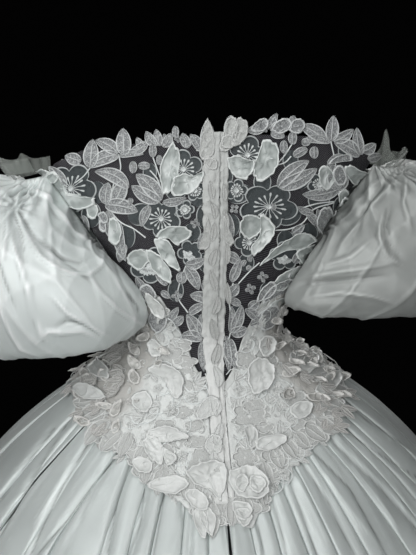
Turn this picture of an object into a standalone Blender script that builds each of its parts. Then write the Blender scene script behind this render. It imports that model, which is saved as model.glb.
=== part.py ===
"""An off-the-shoulder ball gown: net back, boned bodice with a pointed waist, balloon sleeves, pleated skirt.

The gown keeps the form it has when worn, and is hollow. The origin is the middle of the waist, Z is up,
the laced and zipped back faces -Y and the front faces +Y. Sizes are in metres and angles in degrees, counted
round the body from the centre back towards +X, so that the left pieces have negative angles.
"""

import math
from typing import NamedTuple

import bmesh
import bpy
import numpy as np

# Driving sizes
HEM_HEIGHT = -1.070
SEAM_GAP = 0.0013
EDGE_AT_BACK = 0.0030
LEFT_SHOULDER_DROP = 0.010
FOLD_DEPTH_AT_WAIST = 0.004
FOLD_DEPTH_AT_HEM = 0.034
SKIRT_LEVELS = (0.0, 0.05, 0.14, 0.32, 0.62, 1.0)
NET_ANGLES = (0, 8, 18, 32, 44, 54, 64, 74, 78.5, 82, 85)
SLIT_HALF_WIDTH = 0.004
SLIT_MIDDLE = -0.290
SLIT_REACH = 0.110

# The two cups of the bust, as an angle on each side of the front, a height, and how far each spreads
BUST_ANGLE = 150.0
BUST_HEIGHT = 0.140
BUST_DEPTH = 0.016
BUST_SPREAD = 20.0
BUST_RISE = 0.055

# Wall thicknesses, and how far each layer on the back stands off the layer under it
NET_WALL = 0.0010
SATIN_WALL = 0.0018
TAFFETA_WALL = 0.0012
LACE_WALL = 0.0012
PETAL_WALL = 0.0012
PLACKET_WALL = 0.0014
LACE_LIFT = 0.0022
WAIST_LACE_LIFT = 0.0038
UNDER_LAP_LIFT = 0.0026
OVER_LAP_LIFT = 0.0054

# The laps of the back fastening, as distances to the right of the centre back
UNDER_LAP = (0.0015, 0.0155)
OVER_LAP = (-0.0180, 0.0090)
LAP_TOP = 0.330
LAP_MARGIN = 0.0016

FLOWER_LIFT = 0.0072
LACE_TOP_AT_SIDE = 0.070

# The sleeve band
BAND_HEIGHT = 0.024
BAND_WALL = 0.0020
HEAD_CORNER = 78.5
SLEEVE_CLEARANCE = 0.011


class BodyRow(NamedTuple):
    """One level of the figure: its half width, its reach back and front, and the power of its rounded oval."""

    height: float
    half_width: float
    back: float
    front: float
    power: float


BODY = (
    BodyRow(-1.070, 0.780, 0.780, 0.780, 2.0),
    BodyRow(-0.900, 0.712, 0.708, 0.708, 2.0),
    BodyRow(-0.700, 0.625, 0.615, 0.615, 2.0),
    BodyRow(-0.500, 0.530, 0.510, 0.510, 2.0),
    BodyRow(-0.350, 0.458, 0.420, 0.418, 2.0),
    BodyRow(-0.250, 0.388, 0.328, 0.326, 2.0),
    BodyRow(-0.170, 0.313, 0.232, 0.226, 2.1),
    BodyRow(-0.120, 0.254, 0.171, 0.165, 2.1),
    BodyRow(-0.070, 0.185, 0.122, 0.120, 2.2),
    BodyRow(-0.035, 0.130, 0.101, 0.102, 2.2),
    BodyRow(0.000, 0.110, 0.090, 0.092, 2.2),
    BodyRow(0.050, 0.120, 0.094, 0.102, 2.2),
    BodyRow(0.100, 0.141, 0.100, 0.118, 2.2),
    BodyRow(0.150, 0.170, 0.105, 0.128, 2.2),
    BodyRow(0.200, 0.203, 0.108, 0.128, 2.2),
    BodyRow(0.250, 0.244, 0.110, 0.120, 2.2),
    BodyRow(0.290, 0.280, 0.109, 0.112, 2.2),
    BodyRow(0.340, 0.300, 0.106, 0.106, 2.2),
)


class LinePoint(NamedTuple):
    """A point of a seam or an edge: an angle round the body and the height there."""

    angle: float
    height: float


WAIST_SEAM = (
    LinePoint(0, -0.174),
    LinePoint(12, -0.148),
    LinePoint(24, -0.127),
    LinePoint(36, -0.112),
    LinePoint(50, -0.098),
    LinePoint(65, -0.083),
    LinePoint(80, -0.064),
    LinePoint(90, -0.054),
    LinePoint(110, -0.066),
    LinePoint(135, -0.092),
    LinePoint(160, -0.126),
    LinePoint(180, -0.156),
)

# The lower edge of the net, where the lined bodice ends in a deep V at the back
NET_SEAM = (
    LinePoint(0, -0.058),
    LinePoint(8, -0.045),
    LinePoint(18, -0.022),
    LinePoint(32, 0.030),
    LinePoint(44, 0.077),
    LinePoint(62, 0.073),
    LinePoint(90, 0.098),
)

# The upper edge: the neckline, with a notch at each side where the sleeve is set in
TOP_EDGE = (
    LinePoint(0, 0.308),
    LinePoint(30, 0.309),
    LinePoint(52, 0.306),
    LinePoint(64, 0.298),
    LinePoint(74, 0.278),
    LinePoint(78.5, 0.262),
    LinePoint(82, 0.200),
    LinePoint(86, 0.130),
    LinePoint(90, 0.102),
    LinePoint(94, 0.130),
    LinePoint(98, 0.200),
    LinePoint(101.5, 0.250),
    LinePoint(106, 0.258),
    LinePoint(120, 0.246),
    LinePoint(145, 0.212),
    LinePoint(165, 0.186),
    LinePoint(180, 0.176),
)

# The scalloped lower edge of the bodice lace, which lies over the top of the skirt
LACE_HEM = (
    LinePoint(0, -0.205),
    LinePoint(5, -0.212),
    LinePoint(11, -0.192),
    LinePoint(18, -0.190),
    LinePoint(25, -0.182),
    LinePoint(34, -0.152),
    LinePoint(41, -0.158),
    LinePoint(48, -0.150),
    LinePoint(56, -0.152),
    LinePoint(66, -0.138),
    LinePoint(76, -0.126),
    LinePoint(90, -0.104),
)


class Level(NamedTuple):
    """A row of a panel: a rise above its lower line, then a share of what is left to its upper line."""

    rise: float
    share: float


WAIST_LEVELS = (Level(0.0, 0.0), Level(0.013, 0.0), Level(0.026, 0.0), Level(0.040, 0.0))
BACK_LEVELS = (*WAIST_LEVELS, Level(0.040, 0.33), Level(0.040, 0.66), Level(0.040, 1.0))
FRONT_LEVELS = (*WAIST_LEVELS, Level(0.056, 0.0), Level(0.056, 0.24), Level(0.056, 0.60), Level(0.056, 1.0))
NET_LEVELS = tuple(Level(0.0, share) for share in (0.0, 0.06, 0.13, 0.22, 0.34, 0.55, 0.78, 1.0))


class Fold(NamedTuple):
    """A valley of the skirt: its angle at the waist seam, its angle lower down, and its share of the depth."""

    at_waist: float
    at_hem: float
    depth: float


BACK_FOLDS = (
    Fold(-71.5, -69.0, 1.00),
    Fold(-65.5, -62.0, 0.90),
    Fold(-53.8, -51.0, 1.00),
    Fold(-43.5, -45.5, 0.90),
    Fold(-36.5, -33.0, 1.00),
    Fold(-28.5, -26.4, 0.85),
    Fold(-21.3, -20.5, 0.80),
    Fold(-13.5, -12.6, 0.90),
    Fold(-6.0, -5.6, 0.60),
    Fold(6.4, 6.8, 0.70),
    Fold(13.8, 12.8, 0.85),
    Fold(20.7, 20.2, 0.95),
    Fold(28.3, 27.1, 0.90),
    Fold(35.5, 34.6, 0.75),
    Fold(45.8, 45.2, 1.00),
    Fold(54.5, 54.0, 0.80),
    Fold(62.5, 63.0, 0.95),
    Fold(71.0, 72.0, 0.80),
)


class SleeveRow(NamedTuple):
    """One ring of a sleeve, from the head down to the band, with distances outwards from the middle."""

    outer: float
    outer_height: float
    inner: float
    inner_height: float
    back: float
    front: float


LEFT_SLEEVE = (
    SleeveRow(0.333, 0.243, 0.156, 0.136, 0.098, 0.090),
    SleeveRow(0.382, 0.198, 0.118, 0.112, 0.131, 0.115),
    SleeveRow(0.405, 0.128, 0.090, 0.076, 0.149, 0.126),
    SleeveRow(0.390, 0.054, 0.090, 0.038, 0.147, 0.120),
    SleeveRow(0.348, 0.004, 0.120, 0.010, 0.126, 0.104),
    SleeveRow(0.305, -0.002, 0.172, 0.004, 0.084, 0.078),
)
RIGHT_SLEEVE = (
    SleeveRow(0.342, 0.256, 0.156, 0.148, 0.092, 0.090),
    SleeveRow(0.390, 0.225, 0.122, 0.130, 0.118, 0.112),
    SleeveRow(0.415, 0.160, 0.104, 0.102, 0.133, 0.124),
    SleeveRow(0.402, 0.094, 0.102, 0.068, 0.135, 0.118),
    SleeveRow(0.352, 0.046, 0.126, 0.048, 0.116, 0.100),
    SleeveRow(0.305, 0.040, 0.172, 0.044, 0.080, 0.076),
)


class Arm(NamedTuple):
    """What differs between the two sleeves: the side, the rings, the band and the height of the frill."""

    side: str
    sign: int
    rows: tuple
    band_middle: float
    band_height: float
    band_radius: float
    frill_height: float


ARMS = (
    Arm("left", -1, LEFT_SLEEVE, 0.240, 0.026, 0.060, 0.032),
    Arm("right", 1, RIGHT_SLEEVE, 0.240, 0.066, 0.060, 0.040),
)


class Flower(NamedTuple):
    """A cupped satin flower sewn on the back: where it sits, its radius, its stretch and its turn."""

    name: str
    angle: float
    height: float
    radius: float
    stretch: float
    turn: float


FLOWERS = (
    Flower("flower_shoulder_left", -66.0, 0.248, 0.030, 1.5, 35.0),
    Flower("flower_upper_left", -15.5, 0.246, 0.028, 1.3, 60.0),
    Flower("flower_lower_left", -20.5, 0.140, 0.022, 1.3, 20.0),
    Flower("flower_bud_left", -43.0, 0.128, 0.018, 1.2, -30.0),
    Flower("flower_upper_right", 24.0, 0.262, 0.028, 1.4, -50.0),
    Flower("flower_middle_right", 20.0, 0.170, 0.024, 1.2, 60.0),
    Flower("flower_lower_right", 41.0, 0.131, 0.020, 1.7, 20.0),
    Flower("flower_shoulder_right", 66.0, 0.262, 0.024, 1.2, -35.0),
    Flower("flower_waist_right", 9.5, -0.150, 0.026, 1.2, 0.0),
)


class Finish(NamedTuple):
    """The plain look of a material: colour, roughness and metallic."""

    colour: tuple
    roughness: float
    metallic: float


FINISHES = {
    "net": Finish((0.60, 0.60, 0.62), 0.8, 0.0),
    "satin": Finish((0.78, 0.79, 0.76), 0.42, 0.0),
    "taffeta": Finish((0.80, 0.82, 0.80), 0.35, 0.0),
    "lace": Finish((0.76, 0.77, 0.75), 0.75, 0.0),
    "petal": Finish((0.82, 0.83, 0.80), 0.38, 0.0),
    "placket": Finish((0.74, 0.75, 0.73), 0.6, 0.0),
}


def blend(stations, values, at):
    """A smooth curve through values at rising stations, read at one or many places."""
    slopes = np.gradient(values, stations)
    at = np.clip(at, stations[0], stations[-1])
    index = np.clip(np.searchsorted(stations, at) - 1, 0, len(stations) - 2)
    step = stations[index + 1] - stations[index]
    share = (at - stations[index]) / step
    start = (2 * share**3 - 3 * share**2 + 1) * values[index]
    start_slope = (share**3 - 2 * share**2 + share) * step * slopes[index]
    end = (3 * share**2 - 2 * share**3) * values[index + 1]
    end_slope = (share**3 - share**2) * step * slopes[index + 1]
    return start + start_slope + end + end_slope


BODY_TABLE = np.array(BODY)


def body_radius(angle, height):
    """The distance of the figure's surface from the upright axis, with the two cups of the bust in front."""
    turn = math.radians(angle)
    levels = BODY_TABLE[:, 0]
    reach = BODY_TABLE[:, 2] if math.cos(turn) > 0 else BODY_TABLE[:, 3]
    power = blend(levels, BODY_TABLE[:, 4], height)
    across = abs(math.sin(turn)) / blend(levels, BODY_TABLE[:, 1], height)
    along = abs(math.cos(turn)) / blend(levels, reach, height)
    aside = (fold_back(angle) - BUST_ANGLE) / BUST_SPREAD
    above = (height - BUST_HEIGHT) / BUST_RISE
    return (across**power + along**power) ** (-1 / power) + BUST_DEPTH * math.exp(-(aside**2) - above**2)


def body_point(angle, height, out=0.0):
    """A point on the figure, moved outwards from the axis by out."""
    radius = body_radius(angle, height) + out
    turn = math.radians(angle)
    return np.array((radius * math.sin(turn), -radius * math.cos(turn), height))


def line_height(line, angle):
    """The height of a seam or an edge at an angle, the same on the left and the right."""
    angles, heights = zip(*line)
    return float(np.interp(abs(angle), angles, heights))


def angle_beside(distance, height):
    """The angle at which the surface is a distance to the right of the centre back."""
    return math.degrees(math.asin(distance / body_radius(0, height)))


def smooth_step(share):
    """A share from 0 to 1 that starts and ends gently."""
    share = min(max(share, 0.0), 1.0)
    return share * share * (3 - 2 * share)


def surface_normals(points, closed):
    """Unit normals of a grid of points, from the steps to the neighbours on each side."""
    if closed:
        across = np.roll(points, -1, axis=1) - np.roll(points, 1, axis=1)
    else:
        across = np.gradient(points, axis=1)
    along = np.gradient(points, axis=0)
    normals = np.cross(across, along)
    return normals / np.linalg.norm(normals, axis=2, keepdims=True)


def make_wall(name, finish, points, wall, lift=0.0, closed=False):
    """A closed wall on a grid of points, with rows that rise or fall and columns that run round.

    The outer face is lift off the grid, along the normals, and the inner face is one wall inside it.
    Both faces are cut into triangles the same way, so that a thin wall never touches itself.
    """
    points = np.asarray(points, dtype=float)
    normals = surface_normals(points, closed)
    rows, columns = points.shape[:2]
    mesh = bmesh.new()
    faces = []
    for level in (lift, lift - wall):
        grid = points + normals * level
        faces.append([[mesh.verts.new(grid[row, column]) for column in range(columns)] for row in range(rows)])
    outer, inner = faces
    last = columns if closed else columns - 1
    for row in range(rows - 1):
        for column in range(last):
            after = (column + 1) % columns
            add_cell(mesh, outer, (row, column), (row + 1, after), (row, after), (row + 1, column), False)
            add_cell(mesh, inner, (row, column), (row + 1, after), (row, after), (row + 1, column), True)
    for column in range(last):
        after = (column + 1) % columns
        add_rim(mesh, outer, inner, (0, after), (0, column))
        add_rim(mesh, outer, inner, (rows - 1, column), (rows - 1, after))
    if not closed:
        for row in range(rows - 1):
            add_rim(mesh, outer, inner, (row, 0), (row + 1, 0))
            add_rim(mesh, outer, inner, (row + 1, columns - 1), (row, columns - 1))
    return finish_object(name, finish, mesh)


def add_cell(mesh, grid, start, end, beside, above, inside):
    """Two triangles of one cell of a grid, on the diagonal from start to end."""
    corners = [grid[row][column] for row, column in (start, beside, end, above)]
    halves = (corners[:3], [corners[0], corners[2], corners[3]])
    for half in halves:
        mesh.faces.new(half[::-1] if inside else half)


def add_rim(mesh, outer, inner, start, end):
    """The strip that joins the two faces of a wall along one step of its edge."""
    here_out, here_in = outer[start[0]][start[1]], inner[start[0]][start[1]]
    next_out, next_in = outer[end[0]][end[1]], inner[end[0]][end[1]]
    mesh.faces.new((next_out, here_out, here_in))
    mesh.faces.new((next_out, here_in, next_in))


def material_for(finish):
    """The material of a finish, made once."""
    name = f"cloth_{finish}"
    if name in bpy.data.materials:
        return bpy.data.materials[name]
    material = bpy.data.materials.new(name)
    material.use_nodes = True
    shader = material.node_tree.nodes["Principled BSDF"]
    look = FINISHES[finish]
    shader.inputs["Base Color"].default_value = (*look.colour, 1)
    shader.inputs["Roughness"].default_value = look.roughness
    shader.inputs["Metallic"].default_value = look.metallic
    return material


def finish_object(name, finish, mesh):
    """Turns a bmesh into a named object with faces outwards, a material and smooth shading."""
    bmesh.ops.recalc_face_normals(mesh, faces=mesh.faces[:])
    data = bpy.data.meshes.new(name)
    mesh.to_mesh(data)
    mesh.free()
    data.materials.append(material_for(finish))
    for face in data.polygons:
        face.use_smooth = True
    part = bpy.data.objects.new(name, data)
    bpy.context.scene.collection.objects.link(part)
    return part


def body_panel(name, finish, angles, levels, bottom, top, wall):
    """A panel that lies on the figure between two lines, with its side edges just short of the seams.

    angles run from the first side edge to the last, and bottom and top are functions of the angle.
    """
    points = np.empty((len(levels), len(angles), 3))
    for column, angle in enumerate(angles):
        for row, level in enumerate(levels):
            height = level_height(bottom, top, angle, level)
            points[row, column] = body_point(seam_side(angle, angles, height), height)
    return make_wall(name, finish, points, wall)


def level_height(bottom, top, angle, level):
    """The height of a row of a panel between its lower line and its upper line."""
    low = bottom(angle) + SEAM_GAP + level.rise
    high = top(angle) - SEAM_GAP
    return low + (high - low) * level.share


def seam_side(angle, angles, height):
    """Moves the first and the last angle of a panel inwards, to leave the gap at a seam."""
    if abs(angle) < 0.01:
        return angle_side(angle) * angle_beside(EDGE_AT_BACK, height)
    gap = math.degrees(SEAM_GAP / body_radius(angle, height))
    if angle == angles[0]:
        return angle + gap
    if angle == angles[-1]:
        return angle - gap
    return angle


def mirrored(angles, sign):
    """The angles of a panel on one side, always rising. The centre back is -0.0 on the left."""
    turned = [math.copysign(angle, sign) for angle in angles]
    return turned if sign > 0 else turned[::-1]


def add_bodice():
    """The lined satin panels: two backs, two side fronts and a front."""
    side_front = (90, 94, 98, 101.5, 106, 120, 135, 150)
    front = (150, 160, 170, 180, 190, 200, 210)
    for side, sign in (("left", -1), ("right", 1)):
        body_panel(
            f"bodice_back_{side}", "satin", mirrored((*NET_ANGLES, 90), sign), BACK_LEVELS,
            waist_height, net_height, SATIN_WALL,
        )
        body_panel(
            f"bodice_side_front_{side}", "satin", mirrored(side_front, sign), FRONT_LEVELS,
            waist_height, top_height, SATIN_WALL,
        )
    body_panel("bodice_front", "satin", front, FRONT_LEVELS, waist_height, top_height, SATIN_WALL)


def waist_height(angle):
    """The height of the pointed waist seam."""
    return line_height(WAIST_SEAM, fold_back(angle))


def net_height(angle):
    """The height of the lower edge of the net."""
    return line_height(NET_SEAM, fold_back(angle))


def top_height(angle):
    """The height of the neckline and of the notches for the sleeves, lower at the left shoulder."""
    near = fold_back(angle)
    on_left = angle < 0 or angle > 180
    drop = LEFT_SHOULDER_DROP * smooth_step(near / 60) * smooth_step((180 - near) / 60) if on_left else 0.0
    return line_height(TOP_EDGE, near) - drop


def fold_back(angle):
    """An angle past the centre front as the same angle on the near side."""
    return 180 - abs(180 - abs(angle))


def add_net():
    """The illusion net of the upper back, one piece on each side of the fastening."""
    for side, sign in (("left", -1), ("right", 1)):
        body_panel(
            f"net_back_{side}", "net", mirrored(NET_ANGLES, sign), NET_LEVELS,
            net_height, top_height, NET_WALL,
        )


def add_fastening():
    """The two laps that cover the zip, from the neckline to the point of the waist."""
    heights = np.linspace(LAP_TOP, -0.172, 15)
    laps = (("placket_right", UNDER_LAP, UNDER_LAP_LIFT), ("placket_left", OVER_LAP, OVER_LAP_LIFT))
    for name, lap, lift in laps:
        points = np.empty((len(heights), 3, 3))
        for row, height in enumerate(heights[::-1]):
            for column, distance in enumerate(np.linspace(*lap, 3)):
                points[row, column] = body_point(angle_beside(distance, height), height)
        make_wall(name, "placket", points, PLACKET_WALL, lift + PLACKET_WALL)


def add_bodice_lace():
    """The lace over each back bodice panel and the top of the skirt, made from the panel's points, moved out."""
    angles = (0, 18, 32, 44, 54, 64, 74, 82, 89.6)
    for side, sign in (("left", -1), ("right", 1)):
        columns = mirrored(angles, sign)
        rows = 2 + len(BACK_LEVELS)
        points = np.empty((rows, len(columns), 3))
        for column, angle in enumerate(columns):
            seam = waist_height(angle)
            low = line_height(LACE_HEM, angle)
            heights = [low, (low + seam) / 2]
            heights += [level_height(waist_height, net_height, angle, level) for level in BACK_LEVELS]
            heights[-1] = min(heights[-1] - 0.004, LACE_TOP_AT_SIDE)
            for row, height in enumerate(heights):
                points[row, column] = body_point(past_laps(angle, height), height)
        make_wall(f"lace_bodice_{side}", "lace", points, LACE_WALL, LACE_LIFT + LACE_WALL)


def add_waist_lace():
    """The lace band that follows the pointed waist round the front, with a scalloped edge above and below."""
    angles = np.linspace(91, 269, 19)
    points = np.empty((6, len(angles), 3))
    for column, angle in enumerate(angles):
        seam = waist_height(angle)
        scallop = 0.012 * (column % 2)
        heights = [seam - 0.034 - scallop, seam - 0.015]
        heights += [level_height(waist_height, top_height, angle, level) for level in WAIST_LEVELS]
        heights[-1] -= 0.012 - scallop
        for row, height in enumerate(heights):
            points[row, column] = body_point(angle, height)
    make_wall("lace_waist_front", "lace", points, LACE_WALL, WAIST_LACE_LIFT + LACE_WALL)


def past_laps(angle, height):
    """An angle, or where it lies under the laps of the fastening, the angle just past their edge."""
    edge = OVER_LAP[0] - LAP_MARGIN if angle_side(angle) < 0 else UNDER_LAP[1] + LAP_MARGIN
    nearest = angle_beside(edge, height)
    return nearest if abs(angle) < abs(nearest) else angle


def angle_side(angle):
    """The side of the centre back on which an angle lies, which for the centre back itself is the sign of its 0."""
    return int(math.copysign(1, angle))


def add_neck_lace():
    """The lace that edges the neckline, with leaf tips that stand above the net."""
    angles = (0, 13, 20, 27, 33, 39, 45, 50, 55, 60, 65, 70, 75)
    for side, sign in (("left", -1), ("right", 1)):
        columns = mirrored(angles, sign)
        points = np.empty((3, len(columns), 3))
        for column, angle in enumerate(columns):
            edge = top_height(angle)
            tip = 0.006 + 0.012 * (column % 2)
            for row, height in enumerate((edge - 0.024, edge - 0.006, edge + tip)):
                points[row, column] = body_point(past_laps(angle, height), height)
        make_wall(f"lace_neck_{side}", "lace", points, LACE_WALL, LACE_LIFT + LACE_WALL)
    angles = np.linspace(106, 254, 23)
    points = np.empty((3, len(angles), 3))
    for column, angle in enumerate(angles):
        edge = top_height(angle)
        tip = 0.004 + 0.010 * (column % 2)
        for row, height in enumerate((edge - 0.022, edge - 0.006, edge + tip)):
            points[row, column] = body_point(angle, height)
    make_wall("lace_neck_front", "lace", points, LACE_WALL, LACE_LIFT + LACE_WALL)


def all_folds():
    """The valleys of the skirt all round: those of the back, and uneven ones like them round the front."""
    folds = list(BACK_FOLDS)
    angle = 80.0
    count = 0
    while angle < 282:
        folds.append(Fold(angle, angle, 0.85 + 0.15 * math.sin(2.1 * count)))
        angle += 8.1 + 1.3 * math.sin(1.7 * count)
        count += 1
    return folds


def add_skirt():
    """The pleated taffeta skirt in five widths, open at the top of the centre back."""
    widths = (
        ("skirt_back_left", -62.0, 0.0),
        ("skirt_back_right", 0.0, 58.5),
        ("skirt_side_right", 58.5, 123.0),
        ("skirt_front", 123.0, 237.0),
        ("skirt_side_left", 237.0, 298.0),
    )
    folds = all_folds() + [fold._replace(at_waist=fold.at_waist + 360, at_hem=fold.at_hem + 360) for fold in BACK_FOLDS]
    for name, first, last in widths:
        inside = [fold for fold in folds if first + 2 < fold.at_waist < last - 2]
        valleys = [Fold(first, first, 0.4), *sorted(inside), Fold(last, last, 0.4)]
        add_skirt_width(name, pleat_columns(valleys))


def pleat_columns(valleys):
    """The columns of a width: each valley, and two columns on the rounded ridge after it."""
    columns = []
    for valley, after in zip(valleys, valleys[1:]):
        columns.append(valley)
        for share in (0.3, 0.7):
            at_waist = valley.at_waist + share * (after.at_waist - valley.at_waist)
            at_hem = valley.at_hem + share * (after.at_hem - valley.at_hem)
            columns.append(Fold(at_waist, at_hem, 0.0))
    columns.append(valleys[-1])
    return columns


def add_skirt_width(name, columns):
    """One width of the skirt, between two seams."""
    first, last = columns[0], columns[-1]
    points = np.empty((len(SKIRT_LEVELS), len(columns), 3))
    for column, fold in enumerate(columns):
        seam = waist_height(fold.at_waist if fold.at_waist <= 180 else 360 - fold.at_waist) - SEAM_GAP
        for row, level in enumerate(reversed(SKIRT_LEVELS)):
            height = seam + (HEM_HEIGHT - seam) * level
            lean = smooth_step((seam - height) / 0.12)
            angle = fold.at_waist + (fold.at_hem - fold.at_waist) * lean
            depth = fold.depth * (FOLD_DEPTH_AT_WAIST + (FOLD_DEPTH_AT_HEM - FOLD_DEPTH_AT_WAIST) * level**0.6)
            if fold is first:
                angle += seam_gap_angle(angle, height)
            if fold is last:
                angle -= seam_gap_angle(angle, height)
            points[row, column] = body_point(angle, height, -depth)
    make_wall(name, "taffeta", points, TAFFETA_WALL)


def seam_gap_angle(angle, height):
    """Half of the gap at a seam of the skirt, wider at the slit of the centre back."""
    gap = SEAM_GAP
    if abs(angle) < 0.01:
        gap += (SLIT_HALF_WIDTH - SEAM_GAP) * smooth_step(1 - abs(height - SLIT_MIDDLE) / SLIT_REACH)
    return math.degrees(gap / body_radius(angle, height))


def sleeve_head_point(arm, turn):
    """A point on the upper edge of a sleeve: along the notch of the bodice, then round outside the shoulder.

    turn is 0 at the outermost point, 90 at the back corner of the notch and 180 under the arm.
    """
    if 90 <= turn <= 270:
        angle = HEAD_CORNER + (turn - 90) / 180 * (180 - 2 * HEAD_CORNER)
        point = body_point(angle, top_height(arm.sign * angle) - 0.002, 0.0060)
        return point * (arm.sign, 1, 1)
    back = math.sin(math.radians(turn)) > 0
    corner = sleeve_head_point(arm, 90 if back else 270) * (arm.sign, 1, 1)
    outwards = math.cos(math.radians(turn))
    point = np.array((
        corner[0] + (0.286 - corner[0]) * outwards,
        corner[1] * abs(math.sin(math.radians(turn))),
        corner[2] - 0.012 * outwards,
    ))
    return point * (arm.sign, 1, 1)


def sleeve_ring_point(arm, ring, turn):
    """A point on one ring of a sleeve, pushed out where it would enter the bodice."""
    outwards = math.cos(math.radians(turn))
    backwards = math.sin(math.radians(turn))
    power = 2 / 2.5
    across = math.copysign(abs(outwards) ** power, outwards)
    along = math.copysign(abs(backwards) ** power, backwards)
    middle = (ring.outer + ring.inner) / 2
    reach = ring.back if backwards > 0 else ring.front
    height = (ring.outer_height + ring.inner_height) / 2
    height += (ring.outer_height - ring.inner_height) / 2 * across
    point = np.array((middle + (ring.outer - ring.inner) / 2 * across, -reach * along, height))
    angle = math.degrees(math.atan2(point[0], -point[1]))
    least = body_radius(angle, height) + SLEEVE_CLEARANCE
    distance = math.hypot(point[0], point[1])
    if distance < least:
        point[:2] *= least / distance
    return point * (arm.sign, 1, 1)


def add_sleeves():
    """The two balloon sleeves, each gathered to its head and to a band round the arm."""
    columns = 22
    for arm in ARMS:
        turns = [(index + 0.5) * 360 / columns for index in range(columns)]
        gathered = arm.rows[-1]._replace(
            outer=arm.band_middle + arm.band_radius + 0.003,
            inner=arm.band_middle - arm.band_radius - 0.003,
            outer_height=arm.band_height - 0.002,
            inner_height=arm.band_height - 0.002,
            back=arm.band_radius + 0.003,
            front=arm.band_radius + 0.003,
        )
        rings = [[sleeve_head_point(arm, turn) for turn in turns]]
        rings += [[sleeve_ring_point(arm, ring, turn) for turn in turns] for ring in (*arm.rows, gathered)]
        points = np.array(rings[::-1])
        if arm.sign > 0:
            points = points[:, ::-1]
        add_sleeve(arm, points)
        add_band(arm)
        add_frill(arm)


def add_sleeve(arm, points):
    """The puffed part of a sleeve, from the band up to the head."""
    make_wall(f"sleeve_{arm.side}", "taffeta", points, TAFFETA_WALL, closed=True)


def add_band(arm):
    """The narrow band that holds the lower edge of a sleeve round the arm."""
    columns = 16
    points = np.empty((2, columns, 3))
    for row, height in enumerate((0.0, BAND_HEIGHT)):
        for column in range(columns):
            turn = 2 * math.pi * column / columns
            points[row, column] = (
                arm.sign * arm.band_middle + arm.band_radius * math.sin(turn),
                -arm.band_radius * math.cos(turn),
                arm.band_height + height,
            )
    make_wall(f"sleeve_band_{arm.side}", "satin", points, BAND_WALL, closed=True)


def add_frill(arm):
    """The pleated frill that stands up behind the head of a sleeve, round the outside of the shoulder."""
    columns = 17
    points = np.empty((3, columns, 3))
    for column in range(columns):
        turn = 74 - 154 * column / (columns - 1)
        base = sleeve_head_point(arm, turn % 360) * (arm.sign, 1, 1)
        wave = math.cos(math.pi * column / 2)
        away = np.array((math.cos(math.radians(turn)), -math.sin(math.radians(turn)), 0))
        for row, share in enumerate((0.0, 0.5, 1.0)):
            flare = 0.005 + 0.013 * share + 0.007 * share * wave
            rise = 0.009 + arm.frill_height * share * (1.0 + 0.25 * wave * share)
            point = base + away * flare + (0, 0, rise)
            points[row, column] = point * (arm.sign, 1, 1)
    if arm.sign > 0:
        points = points[:, ::-1]
    make_wall(f"sleeve_frill_{arm.side}", "taffeta", points[:, ::-1], TAFFETA_WALL)


def add_flowers():
    """The cupped satin flowers, each a thin wavy dish that stands just off the lace."""
    for flower in FLOWERS:
        add_flower(flower)


def add_flower(flower):
    """One flower: a middle point and two rings of a wavy dish over the surface, made a wall."""
    steps = 10
    grids = []
    mesh = bmesh.new()
    for level in (PETAL_WALL, 0.0):
        centre = mesh.verts.new(flower_point(flower, 0, 0, level))
        rings = []
        for share in (0.5, 1.0):
            turns = [2 * math.pi * step / steps for step in range(steps)]
            rings.append([mesh.verts.new(flower_point(flower, share, turn, level)) for turn in turns])
        grids.append((centre, *rings))
    for centre, middle, edge in grids:
        for step in range(steps):
            after = (step + 1) % steps
            mesh.faces.new((centre, middle[step], middle[after]))
            mesh.faces.new((middle[step], edge[step], edge[after]))
            mesh.faces.new((middle[step], edge[after], middle[after]))
    top, bottom = grids[0][2], grids[1][2]
    for step in range(steps):
        after = (step + 1) % steps
        mesh.faces.new((top[step], bottom[step], bottom[after]))
        mesh.faces.new((top[step], bottom[after], top[after]))
    finish_object(flower.name, "petal", mesh)


def flower_point(flower, share, turn, level):
    """A point of a flower: a share of the way out from its middle, in a direction, level above its back."""
    across = body_point(flower.angle + 1, flower.height) - body_point(flower.angle - 1, flower.height)
    upwards = body_point(flower.angle, flower.height + 0.01) - body_point(flower.angle, flower.height - 0.01)
    out = np.cross(across, upwards)
    out /= np.linalg.norm(out)
    reach = flower.radius * share * (1 + 0.14 * share * math.cos(4 * turn))
    along = reach * math.cos(turn) * flower.stretch
    aside = reach * math.sin(turn)
    tilt = math.radians(flower.turn)
    sideways = along * math.cos(tilt) - aside * math.sin(tilt)
    rise = along * math.sin(tilt) + aside * math.cos(tilt)
    angle = flower.angle + 2 * sideways / np.linalg.norm(across)
    height = flower.height + 0.02 * rise / np.linalg.norm(upwards)
    cup = FLOWER_LIFT + 0.010 * share**2 * (1 + 0.35 * math.cos(3 * turn))
    return body_point(angle, height) + out * (cup + level)


def main():
    """Clears the scene and makes every piece of the gown."""
    for thing in list(bpy.data.objects):
        bpy.data.objects.remove(thing, do_unlink=True)
    add_bodice()
    add_net()
    add_fastening()
    add_bodice_lace()
    add_waist_lace()
    add_neck_lace()
    add_skirt()
    add_sleeves()
    add_flowers()


main()
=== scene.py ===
"""The finished looks of an off-the-shoulder ball gown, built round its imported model.

Every piece of cloth is a thin shell on the form of its solid, with its folds and creases, and the lace is
laid over it leaf by leaf. The frame is the gown's own: Z is up, the fastened back faces -Y and sizes are in
metres. Angles are degrees round the body from the centre back towards +X, negative on the left.
"""

from __future__ import annotations

import logging
import math
from collections.abc import Callable, Sequence
from dataclasses import dataclass, field
from enum import Enum
from typing import NamedTuple, Protocol

import bmesh
import bpy
import numpy as np
from mathutils import Matrix

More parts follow.
